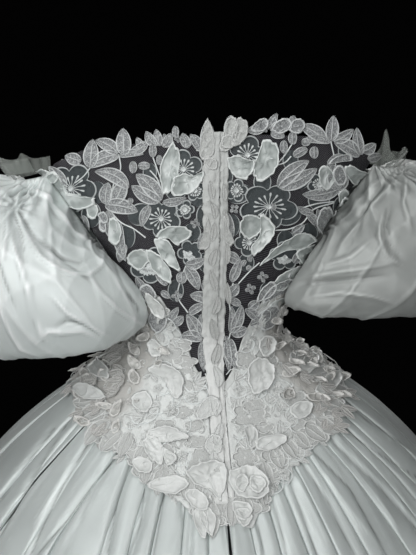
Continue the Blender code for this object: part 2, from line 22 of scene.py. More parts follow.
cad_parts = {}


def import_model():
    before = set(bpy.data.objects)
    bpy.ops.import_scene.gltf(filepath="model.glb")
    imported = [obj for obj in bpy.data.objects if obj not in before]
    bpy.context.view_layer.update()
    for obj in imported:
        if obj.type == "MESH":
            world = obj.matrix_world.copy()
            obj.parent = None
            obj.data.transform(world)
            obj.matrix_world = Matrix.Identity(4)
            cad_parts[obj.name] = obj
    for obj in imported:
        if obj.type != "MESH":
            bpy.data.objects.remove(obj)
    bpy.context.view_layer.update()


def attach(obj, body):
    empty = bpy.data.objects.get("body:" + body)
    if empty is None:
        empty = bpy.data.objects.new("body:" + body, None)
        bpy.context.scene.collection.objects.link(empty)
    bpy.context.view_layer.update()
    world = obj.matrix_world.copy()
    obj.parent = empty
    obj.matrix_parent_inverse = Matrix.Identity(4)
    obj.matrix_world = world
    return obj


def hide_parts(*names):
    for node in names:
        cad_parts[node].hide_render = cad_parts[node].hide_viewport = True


LOG = logging.getLogger("gown")
BODY = "root"
Place = tuple[float, float]
Colour = tuple[float, float, float]

# The length in metres of one unit of a drawing of lace, and of one of a loose motif
DRAWN_UNIT = 0.0016
LOOSE_UNIT = 0.001
# The width of the narrowest leaf with corded edges, in units of the drawing
NARROWEST_CORDED = 3.2

# Sizes that the gown's solids have
HEM_HEIGHT = -1.070
SEAM_GAP = 0.0013
EDGE_AT_BACK = 0.0030
LEFT_SHOULDER_DROP = 0.010
FOLD_DEPTH_AT_HEM = 0.034
SLIT_HALF_WIDTH = 0.004
SLIT_MIDDLE = -0.290
SLIT_REACH = 0.110
BUST_ANGLE = 150.0
BUST_HEIGHT = 0.140
BUST_DEPTH = 0.016
BUST_SPREAD = 20.0
BUST_RISE = 0.055
UNDER_LAP = (0.0015, 0.0155)
OVER_LAP = (-0.0180, 0.0090)
UNDER_LAP_LIFT = 0.0040
OVER_LAP_LIFT = 0.0068
LACE_LIFT = 0.0034
WAIST_LACE_LIFT = 0.0050
HEAD_CORNER = 78.5
SLEEVE_CLEARANCE = 0.011
BAND_HEIGHT = 0.024


class BodyRow(NamedTuple):
    """One level of the figure: half its width, its reach back and front, and the power of its oval."""

    height: float
    half_width: float
    back: float
    front: float
    power: float


BODY_ROWS = (
    BodyRow(-1.070, 0.780, 0.780, 0.780, 2.0),
    BodyRow(-0.900, 0.712, 0.708, 0.708, 2.0),
    BodyRow(-0.700, 0.625, 0.615, 0.615, 2.0),
    BodyRow(-0.500, 0.530, 0.510, 0.510, 2.0),
    BodyRow(-0.350, 0.458, 0.420, 0.418, 2.0),
    BodyRow(-0.250, 0.388, 0.328, 0.326, 2.0),
    BodyRow(-0.170, 0.313, 0.232, 0.226, 2.1),
    BodyRow(-0.120, 0.254, 0.171, 0.165, 2.1),
    BodyRow(-0.070, 0.185, 0.122, 0.120, 2.2),
    BodyRow(-0.035, 0.130, 0.101, 0.102, 2.2),
    BodyRow(0.000, 0.110, 0.090, 0.092, 2.2),
    BodyRow(0.050, 0.120, 0.094, 0.102, 2.2),
    BodyRow(0.100, 0.141, 0.100, 0.118, 2.2),
    BodyRow(0.150, 0.170, 0.105, 0.128, 2.2),
    BodyRow(0.200, 0.203, 0.108, 0.128, 2.2),
    BodyRow(0.250, 0.244, 0.110, 0.120, 2.2),
    BodyRow(0.290, 0.280, 0.109, 0.112, 2.2),
    BodyRow(0.340, 0.300, 0.106, 0.106, 2.2),
)

# How near to each other the points of a pole are
POLE_SIZE = 1e-7

# Seams and edges, as pairs of an angle from the centre back and a height
WAIST_SEAM = (
    (0, -0.174), (12, -0.148), (24, -0.127), (36, -0.112), (50, -0.098), (65, -0.083), (80, -0.064),
    (90, -0.054), (110, -0.066), (135, -0.092), (160, -0.126), (180, -0.156),
)
NET_SEAM = ((0, -0.058), (8, -0.045), (18, -0.022), (32, 0.030), (44, 0.077), (62, 0.073), (90, 0.098))
TOP_EDGE = (
    (0, 0.308), (30, 0.309), (52, 0.306), (64, 0.298), (74, 0.278), (78.5, 0.262), (82, 0.200), (86, 0.130),
    (90, 0.102), (94, 0.130), (98, 0.200), (101.5, 0.250), (106, 0.258), (120, 0.246), (145, 0.212),
    (165, 0.186), (180, 0.176),
)
LACE_HEM = (
    (0, -0.197), (5, -0.204), (9, -0.196), (12, -0.180), (15, -0.173), (18, -0.169), (22, -0.165),
    (27, -0.156), (32, -0.147), (39, -0.140), (45, -0.138), (52, -0.137), (57, -0.128), (62, -0.119),
    (70, -0.111), (76, -0.106), (90, -0.098),
)


class Fold(NamedTuple):
    """A valley of the skirt: its angle at the waist seam and at the hem, and its share of the depth."""

    at_waist: float
    at_hem: float
    depth: float


BACK_FOLDS = (
    Fold(-71.5, -69.0, 1.00), Fold(-65.5, -62.0, 0.90), Fold(-53.8, -51.0, 1.00), Fold(-43.5, -45.5, 0.90),
    Fold(-36.5, -33.0, 1.00), Fold(-28.5, -26.4, 0.85), Fold(-21.3, -20.5, 0.80), Fold(-13.5, -12.6, 0.90),
    Fold(-6.0, -5.6, 0.60), Fold(6.4, 6.8, 0.70), Fold(13.8, 12.8, 0.85), Fold(20.7, 20.2, 0.95),
    Fold(28.3, 27.1, 0.90), Fold(35.5, 34.6, 0.75), Fold(45.8, 45.2, 1.00), Fold(54.5, 54.0, 0.80),
    Fold(62.5, 63.0, 0.95), Fold(71.0, 72.0, 0.80),
)


class SleeveRow(NamedTuple):
    """One ring of a sleeve, from the head down to the band, with distances outwards from the middle."""

    outer: float
    outer_height: float
    inner: float
    inner_height: float
    back: float
    front: float


LEFT_SLEEVE = (
    SleeveRow(0.333, 0.243, 0.156, 0.136, 0.098, 0.090),
    SleeveRow(0.382, 0.198, 0.118, 0.112, 0.131, 0.115),
    SleeveRow(0.405, 0.128, 0.090, 0.076, 0.149, 0.126),
    SleeveRow(0.390, 0.054, 0.090, 0.038, 0.147, 0.120),
    SleeveRow(0.348, 0.004, 0.120, 0.010, 0.126, 0.104),
    SleeveRow(0.305, -0.002, 0.172, 0.004, 0.084, 0.078),
)
RIGHT_SLEEVE = (
    SleeveRow(0.342, 0.256, 0.160, 0.148, 0.092, 0.090),
    SleeveRow(0.390, 0.225, 0.134, 0.130, 0.118, 0.112),
    SleeveRow(0.415, 0.160, 0.116, 0.100, 0.133, 0.124),
    SleeveRow(0.404, 0.086, 0.099, 0.058, 0.137, 0.118),
    SleeveRow(0.366, 0.048, 0.110, 0.046, 0.122, 0.104),
    SleeveRow(0.312, 0.042, 0.160, 0.042, 0.084, 0.078),
)


# ------------------------------------------------------------------------------
# Sums on curves and surfaces


def blend(stations: Sequence[float], values: np.ndarray, at: np.ndarray) -> np.ndarray:
    """A smooth curve through values at rising stations.

    Args:
        stations: the rising places at which the values are given.
        values: one value, or one row of values, for each station.
        at: the places to read.

    Returns:
        The values there, with the shape of at and then that of one value.
    """
    stations = np.asarray(stations, float)
    values = np.asarray(values, float)
    at = np.clip(np.asarray(at, float), stations[0], stations[-1])
    slopes = np.gradient(values, stations, axis=0)
    index = np.clip(np.searchsorted(stations, at) - 1, 0, len(stations) - 2)
    step = stations[index + 1] - stations[index]
    share = (at - stations[index]) / step
    spread = (...,) + (None,) * (values.ndim - 1)
    step, share = step[spread], share[spread]
    start = (2 * share**3 - 3 * share**2 + 1) * values[index]
    start_slope = (share**3 - 2 * share**2 + share) * step * slopes[index]
    end = (3 * share**2 - 2 * share**3) * values[index + 1]
    end_slope = (share**3 - share**2) * step * slopes[index + 1]
    return start + start_slope + end + end_slope


def beside_path(places: np.ndarray, path: Sequence[Place]) -> tuple[np.ndarray, np.ndarray]:
    """How far places are to the left of a path, and their share along it.

    Args:
        places: the places.
        path: the places that the path goes through.

    Returns:
        The distances to the left, below 0 to the right, and the shares along the path.
    """
    knots = np.array(path, float)
    best = np.full(places.shape[:-1], 1e9)
    signed, share = np.zeros_like(best), np.zeros_like(best)
    for number, (start, end) in enumerate(zip(knots, knots[1:])):
        along = end - start
        offset = places - start
        at = np.clip(offset @ along / (along @ along), 0, 1)
        away = offset - at[..., None] * along
        distance = np.hypot(away[..., 0], away[..., 1])
        side = np.sign(along[0] * offset[..., 1] - along[1] * offset[..., 0])
        nearer = distance < best
        signed = np.where(nearer, side * distance, signed)
        share = np.where(nearer, (number + at) / (len(knots) - 1), share)
        best = np.minimum(best, distance)
    return signed, share


def ease(share: np.ndarray) -> np.ndarray:
    """A share from 0 to 1 that starts and ends gently."""
    share = np.clip(share, 0.0, 1.0)
    return share * share * (3 - 2 * share)


def near_side(angle: np.ndarray) -> np.ndarray:
    """An angle past the centre front as the same angle on the near side, without its sign."""
    return 180 - np.abs(180 - np.abs(angle))


def line_height(line: Sequence[Place], angle: np.ndarray) -> np.ndarray:
    """The height of a seam or an edge at an angle, the same on the left and the right."""
    angles, heights = zip(*line)
    return np.interp(near_side(np.asarray(angle, float)), angles, heights)


def top_height(angle: np.ndarray) -> np.ndarray:
    """The height of the neckline and of the notches for the sleeves, lower at the left shoulder.

    Args:
        angle: the angles.

    Returns:
        The heights.
    """
    angle = np.asarray(angle, float)
    near = near_side(angle)
    on_left = (angle < 0) | (angle > 180)
    drop = np.where(on_left, LEFT_SHOULDER_DROP * ease(near / 60) * ease((180 - near) / 60), 0.0)
    return line_height(TOP_EDGE, near) - drop


def grid_normals(points: np.ndarray, closed: bool = False) -> np.ndarray:
    """Unit normals of a grid of points whose rows rise and whose columns run round.

    Args:
        points: the grid, rows by columns by 3.
        closed: whether the last column is beside the first.

    Returns:
        One outward normal for each point.
    """
    if closed:
        across = np.roll(points, -1, axis=1) - np.roll(points, 1, axis=1)
    else:
        across = np.gradient(points, axis=1)
    normals = np.cross(across, np.gradient(points, axis=0))
    return normals / np.maximum(np.linalg.norm(normals, axis=2, keepdims=True), 1e-12)


@dataclass(frozen=True)
class Waves:
    """A smooth uneven field: a sum of slanting waves of about one length, with a fixed seed."""

    seed: int
    across: float
    along: float
    count: int = 9

    def at(self, first: np.ndarray, second: np.ndarray) -> np.ndarray:
        """Values of about -1 to 1 at the places first, second.

        Args:
            first: the places in the one direction.
            second: the places in the other.

        Returns:
            The values there.
        """
        draw = np.random.default_rng(self.seed)
        total = np.zeros(np.broadcast(first, second).shape)
        for _ in range(self.count):
            turn = draw.uniform(0, math.tau)
            pace = draw.uniform(0.7, 1.5) * math.tau
            start = draw.uniform(0, math.tau)
            place = math.cos(turn) * first / self.across + math.sin(turn) * second / self.along
            total += np.sin(pace * place + start)
        return total / math.sqrt(self.count)


@dataclass(frozen=True)
class Crush:
    """Crushed silk: shallow bowls that meet in crisp ridges, with a fixed seed."""

    seed: int
    across: float
    along: float
    slant: float = 0.0
    edge: float = 0.0
    straying: float = 0.15
    usual: float = 0.22
    steepness: float = 2.4

    def nearest_two(self, first: np.ndarray, second: np.ndarray) -> tuple[np.ndarray, np.ndarray]:
        """The squared distances of the places first, second to the two nearest bowls, in bowls.

        Args:
            first: the places across the bowls.
            second: the places along them.

        Returns:
            The distances to the nearest bowl and to the next.
        """
        draw = np.random.default_rng(self.seed)
        first, second = np.broadcast_arrays(first, second)
        first, second = (first + self.slant * second) / self.across, second / self.along
        low = np.floor((first.min(), second.min())) - 1
        counts = (np.ceil((first.max(), second.max())) - low).astype(int) + 2
        nearest, next_one = np.full(first.shape, 9.0), np.full(first.shape, 9.0)
        for column in range(counts[0]):
            for row in range(counts[1]):
                middle = low + (column, row) + draw.uniform(-self.straying, 1 + self.straying, 2)
                away = (first - middle[0]) ** 2 + (second - middle[1]) ** 2
                next_one = np.minimum(next_one, np.maximum(nearest, away))
                nearest = np.minimum(nearest, away)
        return nearest, next_one

    def at(self, first: np.ndarray, second: np.ndarray) -> np.ndarray:
        """Heights of about -1 to 1 at the places first, second.

        Args:
            first: the places across the bowls.
            second: the places along them.

        Returns:
            The heights there.
        """
        nearest, next_one = self.nearest_two(first, second)
        seam = np.exp(-(((next_one - nearest) / 0.07) ** 2))
        return (nearest - self.usual) * self.steepness + self.edge * seam

    def ridges(self, first: np.ndarray, second: np.ndarray) -> np.ndarray:
        """Where the bowls meet, from 0 to 1."""
        nearest, next_one = self.nearest_two(first, second)
        return np.exp(-(((next_one - nearest) / 0.09) ** 2))


@dataclass(frozen=True)
class Figure:
    """The form that the gown keeps when worn, as rounded ovals round the upright axis."""

    table: np.ndarray = field(default_factory=lambda: np.array(BODY_ROWS))

    def radius(self, angle: np.ndarray, height: np.ndarray) -> np.ndarray:
        """The distance of the surface from the axis, with the two cups of the bust in front.

        Args:
            angle: the angles.
            height: the heights.

        Returns:
            The distances.
        """
        turn = np.radians(angle)
        levels = self.table[:, 0]
        sizes = blend(levels, self.table[:, 1:], height)
        reach = np.where(np.cos(turn) > 0, sizes[..., 1], sizes[..., 2])
        across = np.abs(np.sin(turn)) / sizes[..., 0]
        along = np.abs(np.cos(turn)) / reach
        power = sizes[..., 3]
        aside = (near_side(angle) - BUST_ANGLE) / BUST_SPREAD
        above = (height - BUST_HEIGHT) / BUST_RISE
        return (across**power + along**power) ** (-1 / power) + BUST_DEPTH * np.exp(-(aside**2) - above**2)

    def point(self, angle: np.ndarray, height: np.ndarray, out: np.ndarray | float = 0.0) -> np.ndarray:
        """Points on the figure, moved outwards from the axis by out.

        Args:
            angle: the angles.
            height: the heights.
            out: how far they are moved out.

        Returns:
            The points.
        """
        angle, height = np.broadcast_arrays(np.asarray(angle, float), np.asarray(height, float))
        radius = self.radius(angle, height) + out
        turn = np.radians(angle)
        return np.stack([radius * np.sin(turn), -radius * np.cos(turn), height], axis=-1)

    def on(self, angle: np.ndarray, height: np.ndarray, lift: np.ndarray | float) -> np.ndarray:
        """Points above the figure by lift, along its normals.

        Args:
            angle: the angles.
            height: the heights.
            lift: how far above they are.

        Returns:
            The points.
        """
        angle, height = np.broadcast_arrays(np.asarray(angle, float), np.asarray(height, float))
        aside, above = 0.5, 0.002
        across = self.point(angle + aside, height) - self.point(angle - aside, height)
        upwards = self.point(angle, height + above) - self.point(angle, height - above)
        out = np.cross(across, upwards)
        out /= np.linalg.norm(out, axis=-1, keepdims=True)
        return self.point(angle, height) + out * np.asarray(lift)[..., None]

    def beside(self, distance: np.ndarray, height: np.ndarray) -> np.ndarray:
        """The angle at which the surface is a distance to the right of the centre back."""
        return np.degrees(np.arcsin(distance / self.radius(np.zeros_like(height), height)))


FIGURE = Figure()


@dataclass(frozen=True)
class Chart:
    """The back of the gown as a flat drawing on which its lace is laid out, seen from the camera.

    A place on the drawing is carried along the line of sight to the cloth under it.
    """

    width: float = 416.0
    height: float = 555.0
    reach: float = 665.0
    azimuth: float = -6.0
    elevation: float = 16.0
    distance: float = 1.05
    target: tuple[float, float, float] = (0.0, 0.0, 0.08)
    halvings: int = 34

    def axes(self) -> tuple[np.ndarray, np.ndarray, np.ndarray]:
        """The unit directions to the right, up and back towards the eye.

        Returns:
            Three unit vectors.
        """
        turn, rise = math.radians(self.azimuth), math.radians(self.elevation)
        back = np.array((math.sin(turn) * math.cos(rise), -math.cos(turn) * math.cos(rise), math.sin(rise)))
        right = np.array((math.cos(turn), math.sin(turn), 0.0))
        return right, np.cross(back, right), back

    def eye(self) -> np.ndarray:
        """The place of the camera."""
        return np.array(self.target) + self.axes()[2] * self.distance

    def project(self, points: np.ndarray) -> np.ndarray:
        """The places on the drawing of points in space.

        Args:
            points: the points.

        Returns:
            The places.
        """
        right, up, back = self.axes()
        offset = points - self.eye()
        depth = -(offset @ back)
        across = self.width / 2 + self.reach * (offset @ right) / depth
        down = self.height / 2 - self.reach * (offset @ up) / depth
        return np.stack([across, down], axis=-1)

    def land(self, places: np.ndarray) -> tuple[np.ndarray, np.ndarray]:
        """The angles and heights on the figure that lie under places on the drawing.

        Args:
            places: the places.

        Returns:
            The angles and the heights.
        """
        right, up, back = self.axes()
        eye = self.eye()
        aside = (places[..., 0] - self.width / 2) / self.reach
        above = (self.height / 2 - places[..., 1]) / self.reach
        sight = aside[..., None] * right + above[..., None] * up - back
        near = np.zeros(places.shape[:-1])
        far = -eye[1] / sight[..., 1] - 0.004
        for _ in range(self.halvings):
            middle = (near + far) / 2
            point = eye + sight * middle[..., None]
            angle = np.degrees(np.arctan2(point[..., 0], -point[..., 1]))
            outside = np.hypot(point[..., 0], point[..., 1]) > FIGURE.radius(angle, point[..., 2])
            near = np.where(outside, middle, near)
            far = np.where(outside, far, middle)
        point = eye + sight * ((near + far) / 2)[..., None]
        return np.degrees(np.arctan2(point[..., 0], -point[..., 1])), point[..., 2]


CHART = Chart()


class Ground(Protocol):
    """What a drawing of lace is laid on."""

    def carry(self, places: np.ndarray, lift: np.ndarray) -> np.ndarray:
        """Points above the cloth by lift, for places on the drawing."""


@dataclass(frozen=True)
class SeenGround:
    """The back of the figure, for lace that is placed on the chart."""

    lift: float = 0.0

    def carry(self, places: np.ndarray, lift: np.ndarray) -> np.ndarray:
        """Points on the figure under the places, above it by the ground's lift and their own."""
        angle, height = CHART.land(places)
        return FIGURE.on(angle, height, self.lift + lift)


@dataclass(frozen=True)
class WrappedGround:
    """The figure unrolled: places across are degrees times the scale, and places down are lengths."""

    lift: float = 0.0
    unit: float = DRAWN_UNIT
    scale: float = 1.6

    def carry(self, places: np.ndarray, lift: np.ndarray) -> np.ndarray:
        """Points on the figure at the unrolled places, above it by the ground's lift and their own."""
        return FIGURE.on(places[..., 0] / self.scale, -places[..., 1] * self.unit, self.lift + lift)

    def place(self, angle: float, height: float) -> Place:
        """The unrolled place of an angle and a height."""
        return angle * self.scale, -height / self.unit


@dataclass(frozen=True)
class LocalGround:
    """The cloth round one spot of the figure, laid flat without stretching."""

    angle: float
    height: float
    lift: float = 0.0
    unit: float = DRAWN_UNIT
    rise: float = 0.004

    def carry(self, places: np.ndarray, lift: np.ndarray) -> np.ndarray:
        """Points on the figure round the spot, above it by the ground's lift and their own.

        Args:
            places: the places on the drawing.
            lift: their heights above the ground.

        Returns:
            The points.
        """
        radius = float(FIGURE.radius(np.array(self.angle), np.array(self.height)))
        low, high = FIGURE.point(self.angle, np.array((self.height - self.rise, self.height + self.rise)))
        steepness = float(np.linalg.norm(high - low)) / (2 * self.rise)
        angle = self.angle + np.degrees(places[..., 0] * self.unit / radius)
        height = self.height - places[..., 1] * self.unit / steepness
        return FIGURE.on(angle, height, self.lift + lift)


def spots(
    first: float, last: float, low: Callable, high: Callable, spacing: float, seed: int, tries: int = 2600
) -> list[tuple[float, float]]:
    """Places spread over a region of the figure, none nearer to another than the spacing.

    Args:
        first: the region's first angle.
        last: its last angle.
        low: the height of its lower edge at an angle.
        high: the height of its upper edge at an angle.
        spacing: the least distance between two places.
        seed: the seed of the draw.
        tries: how many places are drawn, from which the first ones that fit are kept.

    Returns:
        The angle and the height of each place.
    """
    draw = np.random.default_rng(seed)
    angles = draw.uniform(first, last, tries)
    heights = low(angles) + (high(angles) - low(angles)) * draw.uniform(0, 1, tries)
    points = FIGURE.point(angles, heights)
    kept: list[int] = []
    for number, point in enumerate(points):
        if not kept or np.linalg.norm(points[kept] - point, axis=1).min() > spacing:
            kept.append(number)
    return [(float(angles[number]), float(heights[number])) for number in kept]


# ------------------------------------------------------------------------------
# Meshes


@dataclass
class Weaving:
    """The points, faces and marks of one piece, gathered before its mesh is made.

    Each face corner has its place in the flat cloth, in metres, and each point a mark, which is 0 in the
    middle of a motif and 1 at its corded edge, and high on the crests of a patch's folds, a painted
    highlight there. On silk the mark is signed: above 0 it paints a highlight, below 0 it paints shade.
    """

    points: list[np.ndarray] = field(default_factory=list)
    marks: list[np.ndarray] = field(default_factory=list)
    faces: list[np.ndarray] = field(default_factory=list)
    corners: list[np.ndarray] = field(default_factory=list)
    finishes: list[np.ndarray] = field(default_factory=list)
    count: int = 0
    poles: bool = False

    def add_points(self, points: np.ndarray, mark: np.ndarray | float) -> int:
        """Adds points with their marks, and returns the number of the first.

        Args:
            points: the points, in any grid.
            mark: their marks, or one mark for all.

        Returns:
            The number of the first.
        """
        flat = points.reshape(-1, 3)
        first = self.count
        self.points.append(flat)
        self.marks.append(np.broadcast_to(mark, points.shape[:-1]).reshape(-1))
        self.count += len(flat)
        return first

    def add_faces(self, faces: np.ndarray, corners: np.ndarray, finish: int) -> None:
        """Adds faces of one number of corners, with the place of each corner in the flat cloth.

        Args:
            faces: the numbers of the corners of each face.
            corners: the places of the corners in the flat cloth.
            finish: the number of the material.
        """
        self.faces.append(faces)
        self.corners.append(corners.reshape(-1, 2))
        self.finishes.append(np.full(len(faces), finish))

    def add_grid(
        self, points: np.ndarray, cloth: np.ndarray, mark: np.ndarray | float = 0.0, closed: bool = False,
        finish: int = 0, turned: bool = False,
    ) -> np.ndarray:
        """A sheet on a grid of points whose rows rise and whose columns run round.

        Args:
            points: the grid, rows by columns by 3.
            cloth: the places in the flat cloth, with one column more where the grid is closed.
            mark: the marks of the points.
            closed: whether the last column is beside the first.
            finish: the number of the material.
            turned: whether the faces look the other way.

        Returns:
            The number of each point of the grid.
        """
        rows, columns = points.shape[:2]
        index = self.add_points(points, mark) + np.arange(rows * columns).reshape(rows, columns)
        around = np.concatenate([index, index[:, :1]], axis=1) if closed else index
        place = np.arange(rows * cloth.shape[1]).reshape(rows, -1)
        order = [(0, 0), (0, 1), (1, 1), (1, 0)]
        if turned:
            order = order[::-1]
        last_row, last_column = rows - 1, around.shape[1] - 1
        faces = np.stack([around[r : last_row + r, c : last_column + c] for r, c in order], axis=-1)
        places = np.stack([place[r : last_row + r, c : last_column + c] for r, c in order], axis=-1)
        self.add_faces(faces.reshape(-1, 4), cloth.reshape(-1, 2)[places.reshape(-1, 4)], finish)
        return index

    def add_wall(
        self, points: np.ndarray, cloth: np.ndarray, wall: float, closed: bool, mark: np.ndarray | float
    ) -> None:
        """A sheet with a thickness: an outer face on the grid, an inner one behind it, and the rims.

        Args:
            points: the grid of its outer face.
            cloth: the places in the flat cloth.
            wall: its thickness.
            closed: whether the last column is beside the first.
            mark: the marks of the points.
        """
        inside = points - grid_normals(points, closed) * wall
        outer = self.add_grid(points, cloth, mark, closed)
        inner = self.add_grid(inside, cloth, mark, closed, turned=True)
        rims = [(outer[0], inner[0], False), (outer[-1], inner[-1], True)]
        if closed:
            rims = [(np.append(a, a[0]), np.append(b, b[0]), turned) for a, b, turned in rims]
        else:
            rims += [(outer[:, 0], inner[:, 0], True), (outer[:, -1], inner[:, -1], False)]
        for edge, lining, turned in rims:
            faces = np.stack([lining[:-1], lining[1:], edge[1:], edge[:-1]], axis=-1)
            self.add_faces(faces[:, ::-1] if turned else faces, np.zeros((len(faces), 4, 2)), 0)

    def make(self, name: str, cloths: Sequence[Cloth]) -> bpy.types.Object:
        """Makes the object.

        Args:
            name: its name.
            cloths: the finishes that the numbers of its materials stand for.

        Returns:
            The object, with the flat cloth as its UV map and the marks as an attribute.
        """
        mesh = bpy.data.meshes.new(name)
        points = np.concatenate(self.points)
        sizes = np.concatenate([np.full(len(faces), faces.shape[1]) for faces in self.faces])
        corners = np.concatenate([faces.reshape(-1) for faces in self.faces])
        mesh.vertices.add(len(points))
        mesh.vertices.foreach_set("co", points.astype(np.float32).reshape(-1))
        mesh.loops.add(len(corners))
        mesh.loops.foreach_set("vertex_index", corners.astype(np.int32))
        mesh.polygons.add(len(sizes))
        mesh.polygons.foreach_set("loop_start", (np.cumsum(sizes) - sizes).astype(np.int32))
        mesh.update(calc_edges=True)
        flat = mesh.uv_layers.new(name="cloth")
        flat.data.foreach_set("uv", np.concatenate(self.corners).astype(np.float32).reshape(-1))
        mark = mesh.attributes.new("mark", "FLOAT", "POINT")
        mark.data.foreach_set("value", np.concatenate(self.marks).astype(np.float32))
        mesh.polygons.foreach_set("material_index", np.concatenate(self.finishes).astype(np.int32))
        for cloth in cloths:
            mesh.materials.append(WARDROBE.get(cloth))
        if self.poles:
            shape = bmesh.new()
            shape.from_mesh(mesh)
            bmesh.ops.remove_doubles(shape, verts=shape.verts, dist=POLE_SIZE)
            shape.to_mesh(mesh)
            shape.free()
        mesh.shade_smooth()
        piece = bpy.data.objects.new(name, mesh)
        bpy.context.scene.collection.objects.link(piece)
        return piece


# ------------------------------------------------------------------------------
# Materials


class Wire:
    """One output of a node, on which sums are written as Python."""

    def __init__(self, dye: Dye, socket: bpy.types.NodeSocket) -> None:
        """Wraps a socket of a material that is being written."""
        self.dye = dye
        self.socket = socket

    def reckon(self, operation: str, *values: Wire | float) -> Wire:
        """A Math node on values, in their order."""
        node = self.dye.node("ShaderNodeMath", {"operation": operation}, dict(enumerate(values)))
        return Wire(self.dye, node.outputs[0])

    def __add__(self, other: Wire | float) -> Wire:
        """The sum."""
        return self.reckon("ADD", self, other)

    __radd__ = __add__

    def __sub__(self, other: Wire | float) -> Wire:
        """The difference."""
        return self.reckon("SUBTRACT", self, other)

    def __rsub__(self, other: float) -> Wire:
        """A number less this."""
        return self.reckon("SUBTRACT", other, self)

    def __mul__(self, other: Wire | float) -> Wire:
        """The product."""
        return self.reckon("MULTIPLY", self, other)

    __rmul__ = __mul__

    def __abs__(self) -> Wire:
        """The value without its sign."""
        return self.reckon("ABSOLUTE", self)

    def sine(self) -> Wire:
        """The sine of an angle in radians."""
        return self.reckon("SINE", self)

    def most(self, other: Wire | float) -> Wire:
        """The larger of two values."""
        return self.reckon("MAXIMUM", self, other)

    def step(self, low: float, high: float) -> Wire:
        """A smooth step from 0 at low to 1 at high.

        Args:
            low: the value at which it starts.
            high: the value at which it ends.

        Returns:
            The step.
        """
        ramp = self.dye.node(
            "ShaderNodeMapRange",
            {"interpolation_type": "SMOOTHSTEP"},
            {"Value": self, "From Min": low, "From Max": high},
        )
        return Wire(self.dye, ramp.outputs["Result"])


class Dye:
    """A material while its nodes are written."""

    def __init__(self, name: str) -> None:
        """Starts a material with one Principled shader.

        Args:
            name: the material's name.
        """
        self.material = bpy.data.materials.new(name)
        self.material.use_nodes = True
        self.tree = self.material.node_tree
        self.shader = self.tree.nodes["Principled BSDF"]

    def node(self, kind: str, settings: dict | None = None, sockets: dict | None = None) -> bpy.types.Node:
        """Adds a node.

        Args:
            kind: the node's type.
            settings: its settings, which are set first.
            sockets: a value or a wire for each of its inputs, by name or number.

        Returns:
            The node.
        """
        node = self.tree.nodes.new(kind)
        for name, value in (settings or {}).items():
            setattr(node, name, value)
        for name, value in (sockets or {}).items():
            if isinstance(value, Wire):
                self.tree.links.new(value.socket, node.inputs[name])
            else:
                node.inputs[name].default_value = value
        return node

    def cloth(self) -> tuple[Wire, Wire]:
        """The two places in the flat cloth, in metres.

        Returns:
            The place across and the place along.
        """
        place = self.node("ShaderNodeUVMap", {"uv_map": "cloth"}).outputs[0]
        parts = self.node("ShaderNodeSeparateXYZ", None, {0: Wire(self, place)})
        return Wire(self, parts.outputs[0]), Wire(self, parts.outputs[1])

    def mark(self) -> Wire:
        """The mark of the points, 1 at a corded edge; on silk, above 0 a painted highlight and below 0
        painted shade.
        """
        node = self.node("ShaderNodeAttribute", {"attribute_name": "mark"})
        return Wire(self, node.outputs["Fac"])

    def noise(self, size: float, detail: float = 2.0, stretch: Sequence[float] = (1, 1, 1)) -> Wire:
        """A noise in the object's own space, about size metres across, stretched along its axes.

        Args:
            size: its size in metres.
            detail: how many finer noises it has.
            stretch: how much longer it is along each axis.

        Returns:
            The noise, from 0 to 1.
        """
        place = Wire(self, self.node("ShaderNodeTexCoord").outputs["Object"])
        scale = [1 / (size * part) for part in stretch]
        scaled = self.node("ShaderNodeMapping", None, {"Vector": place, "Scale": scale}).outputs[0]
        made = self.node(
            "ShaderNodeTexNoise", None, {"Vector": Wire(self, scaled), "Scale": 1.0, "Detail": detail}
        )
        return Wire(self, made.outputs["Fac"])

    def cells(self, size: float) -> Wire:
        """The distance to the nearest of seeds about size metres apart, in the object's own space.

        Args:
            size: the distance between two seeds in metres.

        Returns:
            The distance, in sizes.
        """
        place = self.node("ShaderNodeTexCoord").outputs["Object"]
        made = self.node("ShaderNodeTexVoronoi", None, {"Vector": Wire(self, place), "Scale": 1 / size})
        return Wire(self, made.outputs["Distance"])

    def mix(self, share: Wire | float, first: Colour | Wire, second: Colour | Wire) -> Wire:
        """A colour between two, by a share.

        Args:
            share: 0 for the first and 1 for the second.
            first: a colour.
            second: another colour.

        Returns:
            The colour.
        """
        sides = [value if isinstance(value, Wire) else (*value, 1.0) for value in (first, second)]
        node = self.node("ShaderNodeMix", {"data_type": "RGBA"}, {0: share, 6: sides[0], 7: sides[1]})
        return Wire(self, node.outputs[2])

    def bump(self, height: Wire, depth: float, strength: float = 1.0) -> Wire:
        """A normal from heights of 0 to 1 that are depth metres deep."""
        node = self.node("ShaderNodeBump", None, {"Height": height, "Distance": depth, "Strength": strength})
        return Wire(self, node.outputs[0])

    def finish(self, sockets: dict) -> bpy.types.Material:
        """Sets the shader's sockets, by name, and returns the material.

        Args:
            sockets: a value or a wire for each.

        Returns:
            The material.
        """
        for name, value in sockets.items():
            if isinstance(value, Wire):
                self.tree.links.new(value.socket, self.shader.inputs[name])
            else:
                self.shader.inputs[name].default_value = value
        return self.material


